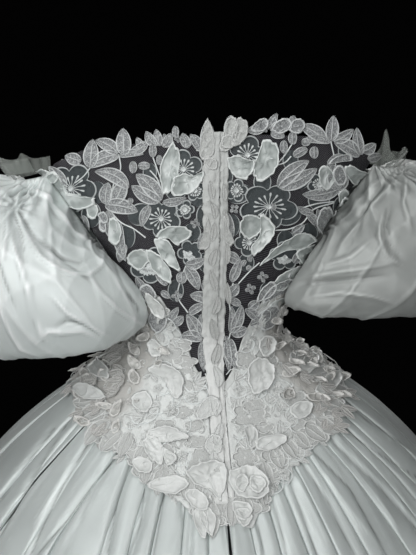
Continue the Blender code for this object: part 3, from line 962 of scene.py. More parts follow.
@dataclass(frozen=True)
class SilkFinish:
    """Smooth silk: satin or taffeta, with a fine weave and a soft uneven lustre.

    A mark above 0 paints a highlight on the crest of a crisp fold, and one below 0 paints shade in the bottom
    of a fold.
    """

    name: str
    colour: Colour
    shade: Colour
    roughness: float
    thread: float = 0.0005
    slub: float = 0.00010
    sheen: float = 0.12
    cover: float = 1.0
    lustre: float = 0.0
    # the next three set the painted highlight on the crests of folds, its greatest brightness, and the
    # painted shade in their bottoms
    crest: float = 1.22
    brightest_painted_highlight: float = 0.93
    bottom: float = 0.50

    def make(self) -> bpy.types.Material:
        """Writes the material.

        Returns:
            The material.
        """
        dye = Dye(self.name)
        across, along = dye.cloth()
        weft = (along * (math.tau / self.thread)).sine()
        warp = (across * (math.tau / self.thread)).sine()
        slubs = dye.noise(0.012, 3.0, (1, 1, 6))
        soft = dye.noise(0.09, 2.0)
        tint = dye.mix(soft.step(0.30, 0.72), self.shade, self.colour)
        # the mark paints a highlight on the crests of folds and shade in their bottoms
        mark = dye.mark()
        bright = tuple(min(self.crest * part, self.brightest_painted_highlight) for part in self.colour)
        tint = dye.mix(mark.step(0.0, 1.0), tint, bright)
        tint = dye.mix((mark * -1).step(0.0, 1.0), tint, tuple(self.bottom * part for part in self.shade))
        height = (weft * warp) * 0.25 + slubs * 1.5
        return dye.finish({
            "Base Color": tint,
            "Roughness": self.roughness + (slubs - 0.5) * 0.16,
            "Specular IOR Level": 0.5,
            "Metallic": self.lustre,
            "Sheen Weight": self.sheen,
            "Sheen Roughness": 0.4,
            "Alpha": self.cover,
            "Normal": dye.bump(height, self.slub),
        })


@dataclass(frozen=True)
class PetalFinish:
    """Thin satin petals, a little sheer in places, with a bright rolled edge and a painted highlight on the
    crests of their folds.
    """

    name: str
    colour: Colour
    shade: Colour
    sheerest: float

    def make(self) -> bpy.types.Material:
        """Writes the material.

        Returns:
            The material.
        """
        dye = Dye(self.name)
        # the rim is the petal's own brighter rolled edge; the crests of its folds reach it too, as a painted
        # highlight
        rim = dye.mark().step(0.80, 0.90)
        patches = dye.noise(0.026, 1.0).step(0.36, 0.66)
        threads = dye.noise(0.0012, 2.0, (1, 1, 3))
        tint = dye.mix((patches * 0.7 + rim).step(0.0, 1.0), self.shade, self.colour)
        cover = (patches * (1 - self.sheerest) + self.sheerest + rim).step(0.0, 1.0)
        return dye.finish({
            "Base Color": tint,
            "Roughness": 0.32 + threads * 0.14,
            "Specular IOR Level": 0.6,
            "Sheen Weight": 0.05,
            "Alpha": cover,
            "Normal": dye.bump(threads, 0.00012),
        })


@dataclass(frozen=True)
class NetFinish:
    """Illusion net: fine pale threads both ways on a near-black ground of painted shade that hardly lets the
    light through.
    """

    name: str
    ground: Colour
    thread: Colour
    pitch: float
    cover: float
    core: float = 0.08
    edge: float = 0.42

    def make(self) -> bpy.types.Material:
        """Writes the material.

        Returns:
            The material.
        """
        dye = Dye(self.name)
        across, along = dye.cloth()
        pace = math.pi / self.pitch
        first = abs(((across + along) * pace).sine())
        second = abs(((across - along) * pace).sine())
        first, second = (1 - part.step(self.core, self.edge) for part in (first, second))
        threads = first.most(second * 0.7)
        uneven = dye.noise(0.02, 2.0)
        cover = threads * (0.55 + uneven * 0.4)
        return dye.finish({
            "Base Color": dye.mix(cover, self.ground, self.thread),
            "Roughness": 0.8,
            "Specular IOR Level": 0.2,
            "Alpha": self.cover + cover * (1 - self.cover),
            "Normal": dye.bump(threads, 0.0002),
        })


@dataclass(frozen=True)
class OrganzaFinish:
    """Sheer organza petals, near-black over the net as painted shade, edged with a bright satin cord."""

    name: str
    veil: Colour
    cord: Colour
    cover: float
    darker: float = 0.82

    def make(self) -> bpy.types.Material:
        """Writes the material.

        Returns:
            The material.
        """
        dye = Dye(self.name)
        mark = dye.mark()
        cord = mark.step(0.86, 0.92)
        soft = dye.noise(0.006, 2.0)
        veil = dye.mix(soft.step(0.2, 0.8), tuple(self.darker * part for part in self.veil), self.veil)
        return dye.finish({
            "Base Color": dye.mix(cord, veil, self.cord),
            "Roughness": 0.55 + cord * 0.1,
            "Specular IOR Level": 0.35,
            "Alpha": self.cover + cord * (1 - self.cover),
            "Normal": dye.bump(soft + cord, 0.0003),
        })


@dataclass(frozen=True)
class LeafFinish:
    """Embroidered leaves: small uneven stitches, ribs aslant, and a bright cord round the edge."""

    name: str
    ground: Colour
    cord: Colour
    ribs: float = 0.0016
    pricks: float = 0.0021
    cover: float = 1.0

    def make(self) -> bpy.types.Material:
        """Writes the material.

        Returns:
            The material.
        """
        dye = Dye(self.name)
        across, along = dye.cloth()
        mark = dye.mark()
        cord = mark.step(0.76, 0.86).most(1 - mark.step(0.03, 0.12))
        slant = (along + abs(across) * -0.8) * (math.tau / self.ribs)
        ribs = slant.sine().step(0.1, 0.9) * 0.35
        pricks = 1 - dye.cells(self.pricks).step(0.20, 0.52)
        uneven = dye.noise(0.0045, 3.0).step(0.40, 0.62)
        stitches = (ribs * 0.6 + pricks * 0.75 + uneven * 0.35).step(0.1, 0.95)
        body = dye.mix(stitches * 0.75, self.ground, self.cord)
        return dye.finish({
            "Base Color": dye.mix(cord, body, self.cord),
            "Roughness": 0.62 - cord * 0.1,
            "Specular IOR Level": 0.35,
            "Sheen Weight": 0.1,
            "Alpha": self.cover + cord * (1 - self.cover),
            "Normal": dye.bump(stitches + cord * 1.5, 0.0004),
        })


@dataclass(frozen=True)
class CrustFinish:
    """The close lace of the bodice and the laps: fine embossed cords and stitches, greyer at its sides."""

    name: str
    colour: Colour
    shade: Colour
    side: Colour
    depth: float = 0.0006
    rib: float = 1.0
    mesh: float = 0.013

    def make(self) -> bpy.types.Material:
        """Writes the material.

        Returns:
            The material.
        """
        dye = Dye(self.name)
        cells = dye.cells(self.mesh)
        cords = 1 - abs(cells - 0.40).step(0.02, 0.06)
        stitches = dye.noise(0.0016, 3.0, (1, 1, self.rib))
        swell = dye.noise(0.012, 2.0)
        height = cords * 0.5 + stitches * 0.5 + swell.step(0.35, 0.7) * 0.4
        raised = (swell * 0.6 + stitches * 0.4).step(0.36, 0.60).most(cords * 0.9)
        tint = dye.mix(raised, self.shade, self.colour)
        edge = (dye.mark() + (swell - 0.5) * 0.5).step(0.25, 0.85)
        return dye.finish({
            "Base Color": dye.mix(edge, tint, self.side),
            "Roughness": 0.5,
            "Specular IOR Level": 0.5,
            "Sheen Weight": 0.15,
            "Normal": dye.bump(height, self.depth),
        })


@dataclass(frozen=True)
class FloorFinish:
    """A plain studio floor with a faint unevenness."""

    name: str
    colour: Colour
    darker: float = 0.94

    def make(self) -> bpy.types.Material:
        """Writes the material.

        Returns:
            The material.
        """
        dye = Dye(self.name)
        soft = dye.noise(0.6, 2.0)
        return dye.finish({
            "Base Color": dye.mix(soft, tuple(self.darker * part for part in self.colour), self.colour),
            "Roughness": 0.75,
        })


class Cloth(Enum):
    """The finishes of the gown."""

    TAFFETA = SilkFinish("taffeta", (0.74, 0.795, 0.78), (0.66, 0.71, 0.70), 0.38, lustre=0.16)
    # a darker copy of the taffeta for the skirt: its darker colour is painted shade
    SHADED_SKIRT_TAFFETA = SilkFinish("shaded_skirt_taffeta", (0.645, 0.695, 0.682), (0.565, 0.61, 0.60), 0.38, lustre=0.16)
    # a darker copy of the taffeta for the right sleeve: its darker colour is painted shade
    SHADED_TAFFETA = SilkFinish("shaded_taffeta", (0.41, 0.43, 0.418), (0.32, 0.338, 0.328), 0.34, lustre=0.24)
    # the frill's taffeta: sheer, and darker than the rest as painted shade
    SHADED_SHEER = SilkFinish("shaded_sheer_taffeta", (0.40, 0.43, 0.40), (0.34, 0.37, 0.34), 0.45, cover=0.30)
    SATIN = SilkFinish("satin", (0.70, 0.725, 0.71), (0.64, 0.66, 0.645), 0.42)
    PETAL = PetalFinish("petal_satin", (0.80, 0.84, 0.825), (0.47, 0.515, 0.50), 0.72)
    LINED_PETAL = PetalFinish("lined_petal", (0.76, 0.78, 0.765), (0.60, 0.62, 0.605), 0.92)
    SIDE_PETAL = PetalFinish("side_petal", (0.74, 0.74, 0.715), (0.44, 0.44, 0.42), 0.80)
    CRUST = CrustFinish("bodice_lace", (0.77, 0.795, 0.78), (0.69, 0.715, 0.70), (0.55, 0.545, 0.52))
    LAP = CrustFinish("lap_crepe", (0.60, 0.62, 0.605), (0.50, 0.515, 0.50), (0.74, 0.755, 0.74), 0.0004, 4.0)
    # the yoke's leaves: their dark grey fill is painted shade seen through the lace; the stitches and cords
    # are their own white
    LEAF = LeafFinish("shaded_leaf_stitches", (0.23, 0.24, 0.245), (0.72, 0.745, 0.745))
    LAP_LEAF = LeafFinish("lap_leaf", (0.50, 0.515, 0.50), (0.66, 0.675, 0.66))
    WHITE_LEAF = LeafFinish("white_leaf", (0.66, 0.68, 0.665), (0.81, 0.83, 0.815))
    SIDE_LEAF = LeafFinish("side_leaf", (0.54, 0.535, 0.515), (0.78, 0.78, 0.76), cover=0.9)
    THREAD = SilkFinish("cord_thread", (0.66, 0.69, 0.685), (0.56, 0.59, 0.585), 0.5)
    # the organza's near-black veil is painted shade: the dark inside of the gown seen through it
    ORGANZA = OrganzaFinish("organza", (0.092, 0.108, 0.113), (0.50, 0.53, 0.53), 0.74)
    WHITE_ORGANZA = LeafFinish("white_organza", (0.64, 0.655, 0.64), (0.80, 0.82, 0.805), cover=0.80)
    # the net's near-black, nearly opaque ground is painted shade: the dark inside of the gown seen through it
    SHADED_NET = NetFinish("shaded_illusion_net", (0.016, 0.0145, 0.020), (0.24, 0.24, 0.25), 0.0030, 0.80)


class Wardrobe:
    """Makes each material once."""

    def __init__(self) -> None:
        """Starts with no material made."""
        self.made: dict[Cloth, bpy.types.Material] = {}

    def get(self, cloth: Cloth) -> bpy.types.Material:
        """The material of a finish.

        Args:
            cloth: the finish.

        Returns:
            The material.
        """
        if cloth not in self.made:
            self.made[cloth] = cloth.value.make()
        return self.made[cloth]


WARDROBE = Wardrobe()


def dress(piece: bpy.types.Object, replaces: Sequence[str] = ()) -> bpy.types.Object:
    """Puts a finished piece on the gown.

    Args:
        piece: the object.
        replaces: the solids that it stands for.

    Returns:
        The piece.
    """
    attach(piece, BODY)
    if replaces:
        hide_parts(*replaces)
    LOG.info("%s: %d faces", piece.name, len(piece.data.polygons))
    return piece


# ------------------------------------------------------------------------------
# Drawn lace


class Outline(Enum):
    """The outlines of motifs, as powers at the base and at the tip."""

    LEAF = (0.56, 0.76)
    OVAL = (0.5, 0.5)
    CLUB = (1.8, 0.42)
    PETAL = (0.45, 0.55)

    def width(self, share: np.ndarray) -> np.ndarray:
        """The width at shares of the length, 1 at the widest.

        Args:
            share: shares of the length.

        Returns:
            The widths.
        """
        base, tip = self.value
        widest = base / (base + tip)
        return (share / widest) ** base * ((1 - share) / (1 - widest)) ** tip


@dataclass
class Drawing:
    """Motifs drawn flat, which are sewn together onto one ground.

    Lengths are in units of the drawing, with down positive, and heights above the ground are in metres.
    """

    ground: Ground
    unit: float = DRAWN_UNIT
    grids: list[tuple] = field(default_factory=list)

    def add(
        self, places: np.ndarray, lift: np.ndarray, cloth: np.ndarray, mark: np.ndarray | float, finish: int,
        closed: bool = False,
    ) -> None:
        """Adds a grid of places with its heights, its flat cloth and its marks."""
        self.grids.append((places, lift, cloth, np.broadcast_to(mark, lift.shape), finish, closed))

    def sew(self, weaving: Weaving) -> None:
        """Carries every motif to the ground at once, and adds it to a piece.

        Args:
            weaving: the piece.
        """
        flat = np.concatenate([grid[0].reshape(-1, 2) for grid in self.grids])
        lifts = np.concatenate([grid[1].reshape(-1) for grid in self.grids])
        points = self.ground.carry(flat, lifts)
        first = 0
        for places, _, cloth, mark, finish, closed in self.grids:
            count = places.shape[0] * places.shape[1]
            grid = points[first : first + count].reshape(*places.shape[:2], 3)
            weaving.add_grid(grid, cloth, mark, closed=closed, finish=finish)
            weaving.poles = weaving.poles or closed
            first += count

    def make(
        self, name: str, cloths: Sequence[Cloth], slot: str, replaces: Sequence[str] = ()
    ) -> bpy.types.Object:
        """Sews the motifs together as one piece, and puts it on the gown.

        Args:
            name: the name of the piece.
            cloths: the finishes that the motifs' numbers stand for.
            slot: the record's material slot; not used.
            replaces: the solids that it stands for.

        Returns:
            The piece.
        """
        weaving = Weaving()
        self.sew(weaving)
        return dress(weaving.make(name, cloths), replaces)

    def blade(
        self, base: Place, tip: Place, width: float, bend: float = 0.0, lift: float = 0.0016, finish: int = 0,
        outline: Outline = Outline.LEAF, cup: float = 0.0006, cord: float = 0.0005, steps: int = 12,
    ) -> None:
        """A leaf, a bud or a flat petal with a corded edge and a middle rib.

        Args:
            base: where it grows from.
            tip: its end.
            width: its greatest width.
            bend: how far its middle is bowed aside, as a share of its length.
            lift: the height of its middle.
            finish: the number of its material.
            outline: the shape of its edge.
            cup: how much higher the edges stand than the middle.
            cord: the height of the cords.
            steps: the rows along it.
        """
        start, end = np.array(base, float), np.array(tip, float)
        along = end - start
        aside = np.array((-along[1], along[0]))
        length = math.hypot(*along)
        aside /= max(length, 1e-6)
        across = np.array((-1, -0.93, -0.84, -0.45, -0.06, 0, 0.06, 0.45, 0.84, 0.93, 1.0))
        ridge = np.array((0, 1, 0.2, 0, 0.1, 0.8, 0.1, 0, 0.2, 1, 0))
        if cord <= 0 or width < NARROWEST_CORDED:
            across, ridge = np.array((-1, -0.5, 0, 0.5, 1.0)), np.array((0, 0.4, 0.7, 0.4, 0))
        share = 0.5 - 0.5 * np.cos(np.linspace(0.10, math.pi - 0.08, steps))
        half = outline.width(share) * width / 2
        line = start + along * share[:, None] + aside * (bend * length * 4 * share * (1 - share))[:, None]
        places = line[:, None] + aside * (across[None] * half[:, None])[..., None]
        lifts = lift + cup * across**2 * np.sin(math.pi * share)[:, None] + cord * ridge
        cloth = np.stack(
            [np.broadcast_to(across * 1.0, places.shape[:2]) * half[:, None] * self.unit,
             np.broadcast_to((share * length * self.unit)[:, None], places.shape[:2])], axis=-1)
        self.add(places, lifts, cloth, np.abs(across)[None].repeat(steps, 0), finish)

    def cord(
        self, path: Sequence[Place], width: float = 1.0, lift: float = 0.0014, finish: int = 0,
        height: float = 0.0007,
    ) -> None:
        """A satin cord along a smooth line through places, half round.

        Args:
            path: the places that it goes through.
            width: its width.
            lift: the height of its edges.
            finish: the number of its material.
            height: how far it stands up.
        """
        knots = np.array(path, float)
        lengths = np.concatenate([[0], np.cumsum(np.linalg.norm(np.diff(knots, axis=0), axis=1))])
        steps = max(4, int(lengths[-1] / 2.2) + 2)
        at = np.linspace(0, lengths[-1], steps)
        line = blend(lengths, knots, at)
        along = np.gradient(line, axis=0)
        along /= np.maximum(np.linalg.norm(along, axis=1, keepdims=True), 1e-9)
        aside = np.stack([-along[:, 1], along[:, 0]], axis=-1)
        across = np.array((-1.0, -0.6, 0.0, 0.6, 1.0))
        crest = np.array((0.0, 0.75, 1.0, 0.75, 0.0))
        places = line[:, None] + aside[:, None] * across[None, :, None] * width / 2
        lifts = lift + height * np.broadcast_to(crest, places.shape[:2])
        flat = np.broadcast_arrays(across[None] * width * self.unit / 2, (at * self.unit)[:, None])
        self.add(places, lifts, np.stack(flat, axis=-1), 1.0, finish)

    def blossom(self, centre: Place, size: float, turn: float = 0.0, petals: int = 4) -> None:
        """A small flower of plump stitched petals round a knot.

        Args:
            centre: its middle.
            size: its width.
            turn: its turn in degrees.
            petals: how many it has.
        """
        for number in range(petals):
            angle = math.radians(turn + 360 * number / petals)
            way = np.array((math.cos(angle), math.sin(angle)))
            start, end = np.array(centre) + way * size * 0.08, np.array(centre) + way * size * 0.56
            self.blade(start, end, size * 0.40, lift=0.0022, outline=Outline.OVAL, cup=-0.0006, steps=8)

    def flower(
        self, centre: Place, radius: float, turn: float = 0.0, squash: float = 1.0, lobes: int = 5,
        finish: int = 1, lift: float = 0.0012, steps: int = 80,
    ) -> None:
        """A flat five-lobed flower of organza with a corded edge.

        Args:
            centre: its middle.
            radius: its radius.
            turn: its turn in degrees.
            squash: its height as a share of its width.
            lobes: how many lobes it has.
            finish: the number of its material.
            lift: its height.
            steps: the points round its edge.
        """
        turns = np.linspace(0, 2 * math.pi, steps, endpoint=False)
        edge = radius * (0.64 + 0.36 * np.abs(np.cos(lobes / 2 * (turns - math.radians(turn)))) ** 0.62)
        cord = 1.5 / radius
        rings = np.array((0.0, 0.3, 0.6, 0.82 - cord, 1 - 1.1 * cord, 1 - cord, 1 - 0.5 * cord, 1.0))
        crest = np.array((0.0, 0.2, 0.3, 0.2, 0.1, 0.5, 1.0, 0.0))
        marks = np.array((0.0, 0.2, 0.4, 0.6, 0.84, 1.0, 1.0, 1.0))
        reach = rings[:, None] * edge[None]
        offset = np.stack([reach * np.cos(turns), reach * np.sin(turns) * squash], axis=-1)
        places = np.array(centre) + offset
        lifts = lift + 0.0008 * np.broadcast_to(crest[:, None], reach.shape)
        around = np.append(turns, 2 * math.pi)
        full = rings[:, None] * np.append(edge, edge[0])[None] * self.unit
        cloth = np.stack([full * np.cos(around), full * np.sin(around)], axis=-1)
        self.add(places, lifts, cloth, marks[:, None], finish, closed=True)

    def spray(
        self, centre: Place, turn: float, size: float, count: int, finish: int = 0, lift: float = 0.0016
    ) -> None:
        """Leaves that fan out from one stem, the middle ones the longest.

        Args:
            centre: the foot of the stem.
            turn: the way that it points in degrees.
            size: the length of the middle leaf.
            count: how many leaves it has.
            finish: the number of its material.
            lift: its height.
        """
        for number in range(count):
            aside = number - (count - 1) / 2
            way = math.radians(turn + aside * 42)
            long = size * (1 - 0.12 * abs(aside))
            tip = (centre[0] + long * math.sin(way), centre[1] - long * math.cos(way))
            above = lift + 0.0004 * (number % 2)
            self.blade(
                centre, tip, long * 0.46, 0.05 * aside, above, finish, cup=0.0003, cord=0.0004, steps=8
            )

    def stamens(
        self, centre: Place, reach: float, count: int, first: float, last: float, squash: float,
        finish: int = 2,
    ) -> None:
        """Stamens that spread from a middle, each a thread with a club at its end.

        Args:
            centre: the middle.
            reach: how far they reach.
            count: how many there are.
            first: the angle at which they start.
            last: the angle at which they end.
            squash: their height as a share of their width.
            finish: the number of their material.
        """
        draw = np.random.default_rng(int(centre[0] * 31 + centre[1]))
        for number in range(count):
            angle = math.radians(first + (last - first) * (number + 0.5) / count)
            long = reach * draw.uniform(0.78, 1.05)
            way = np.array((math.cos(angle), math.sin(angle) * squash))
            start, end = np.array(centre) + way * reach * 0.06, np.array(centre) + way * long
            self.cord([start, (start + end) / 2, start + (end - start) * 0.8], 0.55, 0.0022, finish, 0.0005)
            self.blade(
                start + (end - start) * 0.45, end, 1.9, lift=0.0027, finish=finish, outline=Outline.CLUB,
                cup=0.0, cord=0.0, steps=6,
            )

    def cup(
        self, centre: Place, radius: float, rise: float, lift: float, finish: int, wave: int = 4
    ) -> None:
        """A small cup that stands up all round its middle, with an uneven rolled rim.

        Args:
            centre: its middle.
            radius: its radius.
            rise: its height.
            lift: the height of its foot.
            finish: the number of its material.
            wave: how many waves its rim has.
        """
        turns = np.linspace(0, 2 * math.pi, 48, endpoint=False)
        rings = np.array((0.0, 0.2, 0.4, 0.58, 0.74, 0.86, 0.94, 1.0, 0.985, 0.94))
        heights = np.array((0.02, 0.0, 0.06, 0.22, 0.50, 0.80, 0.98, 0.92, 0.72, 0.58))
        uneven = 1 + 0.10 * np.cos(wave * turns) + 0.05 * np.cos(7 * turns)
        across = rings[:, None] * radius * uneven[None] * np.cos(turns)
        down = rings[:, None] * radius * uneven[None] * np.sin(turns)
        wavy = 1 + 0.28 * np.cos((wave - 1) * turns[None]) * rings[:, None] ** 2
        lifts = lift + rise * heights[:, None] * wavy
        around = np.append(turns, 2 * math.pi)
        reach = rings[:, None] * radius * self.unit
        flat = np.stack([reach * np.cos(around), reach * np.sin(around)], axis=-1)
        places = np.array(centre) + np.stack([across, down], axis=-1)
        self.add(places, lifts, flat, rings[:, None], finish, closed=True)

    def patch(self, patch: Patch, lift: float = 0.0024, finish: int = 0, rim: float = 0.0010) -> None:
        """A petal or a leaf of any outline, sewn down on one side, with soft folds and a rolled rim.

        Args:
            patch: its outline, its rise, the way that its free side faces and the depth of its folds.
            lift: the height of its sewn part.
            finish: the number of its material.
            rim: the height of the roll along its edge.
        """
        corners = np.array(patch.outline, float)
        count = len(corners)
        steps = 6 * count
        around = np.concatenate([corners[-2:], corners, corners[:3]])
        edge = blend(np.arange(-2, count + 3), around, np.arange(steps) * count / steps)
        middle = corners.mean(axis=0)
        seed = abs(int(corners.sum()))
        draw = np.random.default_rng(seed)
        turns = np.arange(steps) * math.tau / steps
        waves = sum(0.024 * np.sin(beat * turns + draw.uniform(0, 6)) for beat in (3, 5, 8, 11, 15))
        offset = (edge - middle) * (1 + waves)[:, None]
        roll = 1.0 / np.hypot(*offset.T).mean()
        inner = np.linspace(0, 1 - 2.2 * roll, 8)
        rings = np.concatenate([inner, (1 - 1.7 * roll, 1 - roll, 1.0, 1 - 0.3 * roll)])
        crest = np.concatenate([0 * inner, (0.7, 1.0, 0.2, -0.5)]) * rim
        marks = np.concatenate([0.75 * inner, (1, 1, 1, 1)])
        places = middle + offset[None] * rings[:, None, None]
        facing = np.arctan2(offset[:, 1], offset[:, 0]) - math.radians(patch.way)
        free = (0.5 + 0.5 * np.cos(facing)) ** 1.3
        across, down = places[..., 0], places[..., 1]
        ridges = (1 - np.abs(Waves(seed, 15, 15, 7).at(across, down))).clip(0) ** 6
        small = Waves(seed + 1, 8, 8, 7).at(across, down)
        calm = (1 - rings**6)[:, None]
        lifts = lift + patch.rise * rings[:, None] ** 2 * free
        lifts = lifts + patch.folds * (1.7 * ridges + 0.25 * small) * calm
        lifts = lifts + crest[:, None] + 0.4 * patch.folds * small * (1 - calm)
        flat = (np.concatenate([places, places[:, :1]], axis=1) - middle) * self.unit
        # the crests of the folds are marked like the rim, which paints a highlight on them
        self.add(places, lifts, flat, np.maximum(marks[:, None], 0.95 * ridges * calm), finish, closed=True)


class Patch(NamedTuple):
    """A petal on the chart: its edge, its rise, the way that its free side faces and its folds' depth.

    The way is in degrees, 0 to the right and 90 down.
    """

    outline: tuple[Place, ...]
    rise: float = 0.005
    way: float = -90.0
    folds: float = 0.0018


@dataclass(frozen=True)
class FlatGround:
    """A flat table on which one loose motif is made."""

    unit: float = LOOSE_UNIT

    def carry(self, places: np.ndarray, lift: np.ndarray) -> np.ndarray:
        """Points on the table, with the drawing's down as -Y."""
        return np.stack([places[..., 0] * self.unit, -places[..., 1] * self.unit, lift], axis=-1)


class Loom:
    """A Geometry Nodes tree while it is written."""

    def __init__(self, name: str) -> None:
        """Starts a tree with one mesh in and one out.

        Args:
            name: the tree's name.
        """
        self.tree = bpy.data.node_groups.new(name, "GeometryNodeTree")
        self.tree.interface.new_socket("Geometry", in_out="INPUT", socket_type="NodeSocketGeometry")
        self.tree.interface.new_socket("Geometry", in_out="OUTPUT", socket_type="NodeSocketGeometry")
        self.way_in = self.tree.nodes.new("NodeGroupInput")
        self.way_out = self.tree.nodes.new("NodeGroupOutput")

    def ask(self, name: str, kind: str) -> bpy.types.NodeSocket:
        """Adds a named input to the tree."""
        self.tree.interface.new_socket(name, in_out="INPUT", socket_type=f"NodeSocket{kind}")
        return self.way_in.outputs[name]

    def node(self, kind: str, settings: dict | None = None, sockets: dict | None = None) -> bpy.types.Node:
        """Adds a node, with its settings first and then a value or an output for each of its inputs.

        Args:
            kind: the node's type.
            settings: its settings, which are set first.
            sockets: a value or an output for each of its inputs.

        Returns:
            The node.
        """
        node = self.tree.nodes.new(kind)
        for name, value in (settings or {}).items():
            setattr(node, name, value)
        for name, value in (sockets or {}).items():
            if isinstance(value, bpy.types.NodeSocket):
                self.tree.links.new(value, node.inputs[name])
            else:
                node.inputs[name].default_value = value
        return node


@dataclass(frozen=True)
class Strewing:
    """Loose motifs sewn close together over a ground, each turned and leant its own way."""

    spacing: float
    seed: int
    smallest: float = 0.75
    largest: float = 1.2
    lean: float = 0.5
    closest: float = 60000.0

    def tree(self) -> bpy.types.GeometryNodeTree:
        """Writes the tree.

        Returns:
            The tree.
        """
        loom = Loom("strewing")
        spacing, seed = loom.ask("Spacing", "Float"), loom.ask("Seed", "Int")
        smallest, largest = loom.ask("Smallest", "Float"), loom.ask("Largest", "Float")
        lean, motifs = loom.ask("Lean", "Float"), loom.ask("Motifs", "Collection")
        thread = loom.ask("Thread", "Material")
        ground = loom.way_in.outputs[0]
        points = loom.node(
            "GeometryNodeDistributePointsOnFaces",
            {"distribute_method": "POISSON"},
            {"Mesh": ground, "Distance Min": spacing, "Density Max": self.closest, "Seed": seed},
        )
        spin = loom.node("FunctionNodeRandomValue", {"data_type": "FLOAT"}, {2: 0.0, 3: math.tau, 8: 3})
        tilt = loom.node("FunctionNodeRandomValue", {"data_type": "FLOAT"}, {2: 0.0, 3: lean, 8: 5})
        size = loom.node("FunctionNodeRandomValue", {"data_type": "FLOAT"}, {2: smallest, 3: largest, 8: 7})
        pose = loom.node("ShaderNodeCombineXYZ", None, {0: tilt.outputs[1], 2: spin.outputs[1]})
        turned = loom.node(
            "FunctionNodeRotateRotation",
            {"rotation_space": "LOCAL"},
            {"Rotation": points.outputs["Rotation"], "Rotate By": pose.outputs[0]},
        )
        picked = loom.node("GeometryNodeCollectionInfo", None, {"Collection": motifs, 1: True, 2: True})
        placed = loom.node(
            "GeometryNodeInstanceOnPoints",
            None,
            {
                "Points": points.outputs["Points"], "Instance": picked.outputs[0], "Pick Instance": True,
                "Rotation": turned.outputs[0], "Scale": size.outputs[1],
            },
        )
        real = loom.node("GeometryNodeRealizeInstances", None, {0: placed.outputs[0]})
        dyed = loom.node("GeometryNodeSetMaterial", None, {"Geometry": real.outputs[0], "Material": thread})
        loom.tree.links.new(dyed.outputs[0], loom.way_out.inputs[0])
        return loom.tree

    def strew(
        self, name: str, ground: bpy.types.Object, motifs: bpy.types.Collection, thread: bpy.types.Material
    ) -> bpy.types.Object:
        """Strews the motifs over a ground.

        Args:
            name: the name of the new piece.
            ground: the cloth they are sewn to, which is left as it is.
            motifs: the loose motifs to pick from.
            thread: the material of every motif.

        Returns:
            One mesh of all the motifs.
        """
        tree = bpy.data.node_groups.get("strewing") or self.tree()
        modifier = ground.modifiers.new("strewing", "NODES")
        modifier.node_group = tree
        values = {
            "Spacing": self.spacing, "Seed": self.seed, "Smallest": self.smallest, "Largest": self.largest,
            "Lean": self.lean, "Motifs": motifs, "Thread": thread,
        }
        for item in tree.interface.items_tree:
            if item.in_out == "INPUT" and item.name in values:
                modifier[item.identifier] = values[item.name]
        graph = bpy.context.evaluated_depsgraph_get()
        mesh = bpy.data.meshes.new_from_object(ground.evaluated_get(graph))
        ground.modifiers.remove(modifier)
        mesh.name = name
        mesh.shade_smooth()
        piece = bpy.data.objects.new(name, mesh)
        bpy.context.scene.collection.objects.link(piece)
        return piece


def loose_motifs() -> bpy.types.Collection:
    """Makes the small leaves, petals and blossoms that are strewn, in a collection outside the scene.

    Returns:
        The collection.
    """
    collection = bpy.data.collections.new("motifs")
    forms = {
        "leaf": (Outline.LEAF, 12.0, 5.6, 0.0010),
        "long_leaf": (Outline.LEAF, 16.0, 5.0, 0.0014),
        "petal": (Outline.PETAL, 10.5, 8.0, 0.0014),
    }
    for name, (outline, length, width, rise) in forms.items():
        drawing = Drawing(FlatGround(), LOOSE_UNIT)
        drawing.blade((0, 2.0), (0, 2.0 - length), width, 0.06, 0.0004, 0, outline, rise, 0.0005, 7)
        collect(drawing, name, collection)
    drawing = Drawing(FlatGround(), LOOSE_UNIT)
    for number in range(5):
        way = np.array((math.cos(number * math.tau / 5), math.sin(number * math.tau / 5)))
        drawing.blade(way * 0.6, way * 4.8, 3.1, 0.0, 0.0008, 0, Outline.OVAL, 0.0010, 0.0, 5)
    collect(drawing, "blossom", collection)
    drawing = Drawing(FlatGround(), LOOSE_UNIT)
    drawing.cord([(-5, 3), (-3, -3), (3, -4), (5, 1), (1, 4), (-1, 1)], 1.3, 0.0010, 0, 0.0009)
    collect(drawing, "loop", collection)
    return collection


def collect(drawing: Drawing, name: str, collection: bpy.types.Collection) -> None:
    """Makes one loose motif and keeps it in a collection alone.

    Args:
        drawing: the motif.
        name: its name.
        collection: where it is kept.
    """
    weaving = Weaving()
    drawing.sew(weaving)
    motif = weaving.make(name, [Cloth.WHITE_LEAF])
    bpy.context.scene.collection.objects.unlink(motif)
    collection.objects.link(motif)


# ------------------------------------------------------------------------------
# Pieces


class Held(Enum):
    """How a sheet of cloth is kept in shape."""

    HUNG = "hung"
    GATHERED = "gathered"
    STRETCHED = "stretched"


def flat_cloth(points: np.ndarray, closed: bool = False) -> np.ndarray:
    """The places in the flat cloth of a grid, in metres along its rows and its columns.

    Args:
        points: the grid.
        closed: whether it is a tube.

    Returns:
        The places, with one column more where the grid is closed.
    """
    wrapped = np.concatenate([points, points[:, :1]], axis=1) if closed else points
    across = np.linalg.norm(np.diff(wrapped, axis=1), axis=2)
    first = np.concatenate([np.zeros((len(points), 1)), np.cumsum(across, axis=1)], axis=1)
    first -= first[:, first.shape[1] // 2][:, None]
    along = np.linalg.norm(np.diff(points, axis=0), axis=2).mean(axis=1)
    second = np.concatenate([[0.0], np.cumsum(along)])
    return np.stack(np.broadcast_arrays(first, second[:, None]), axis=-1)


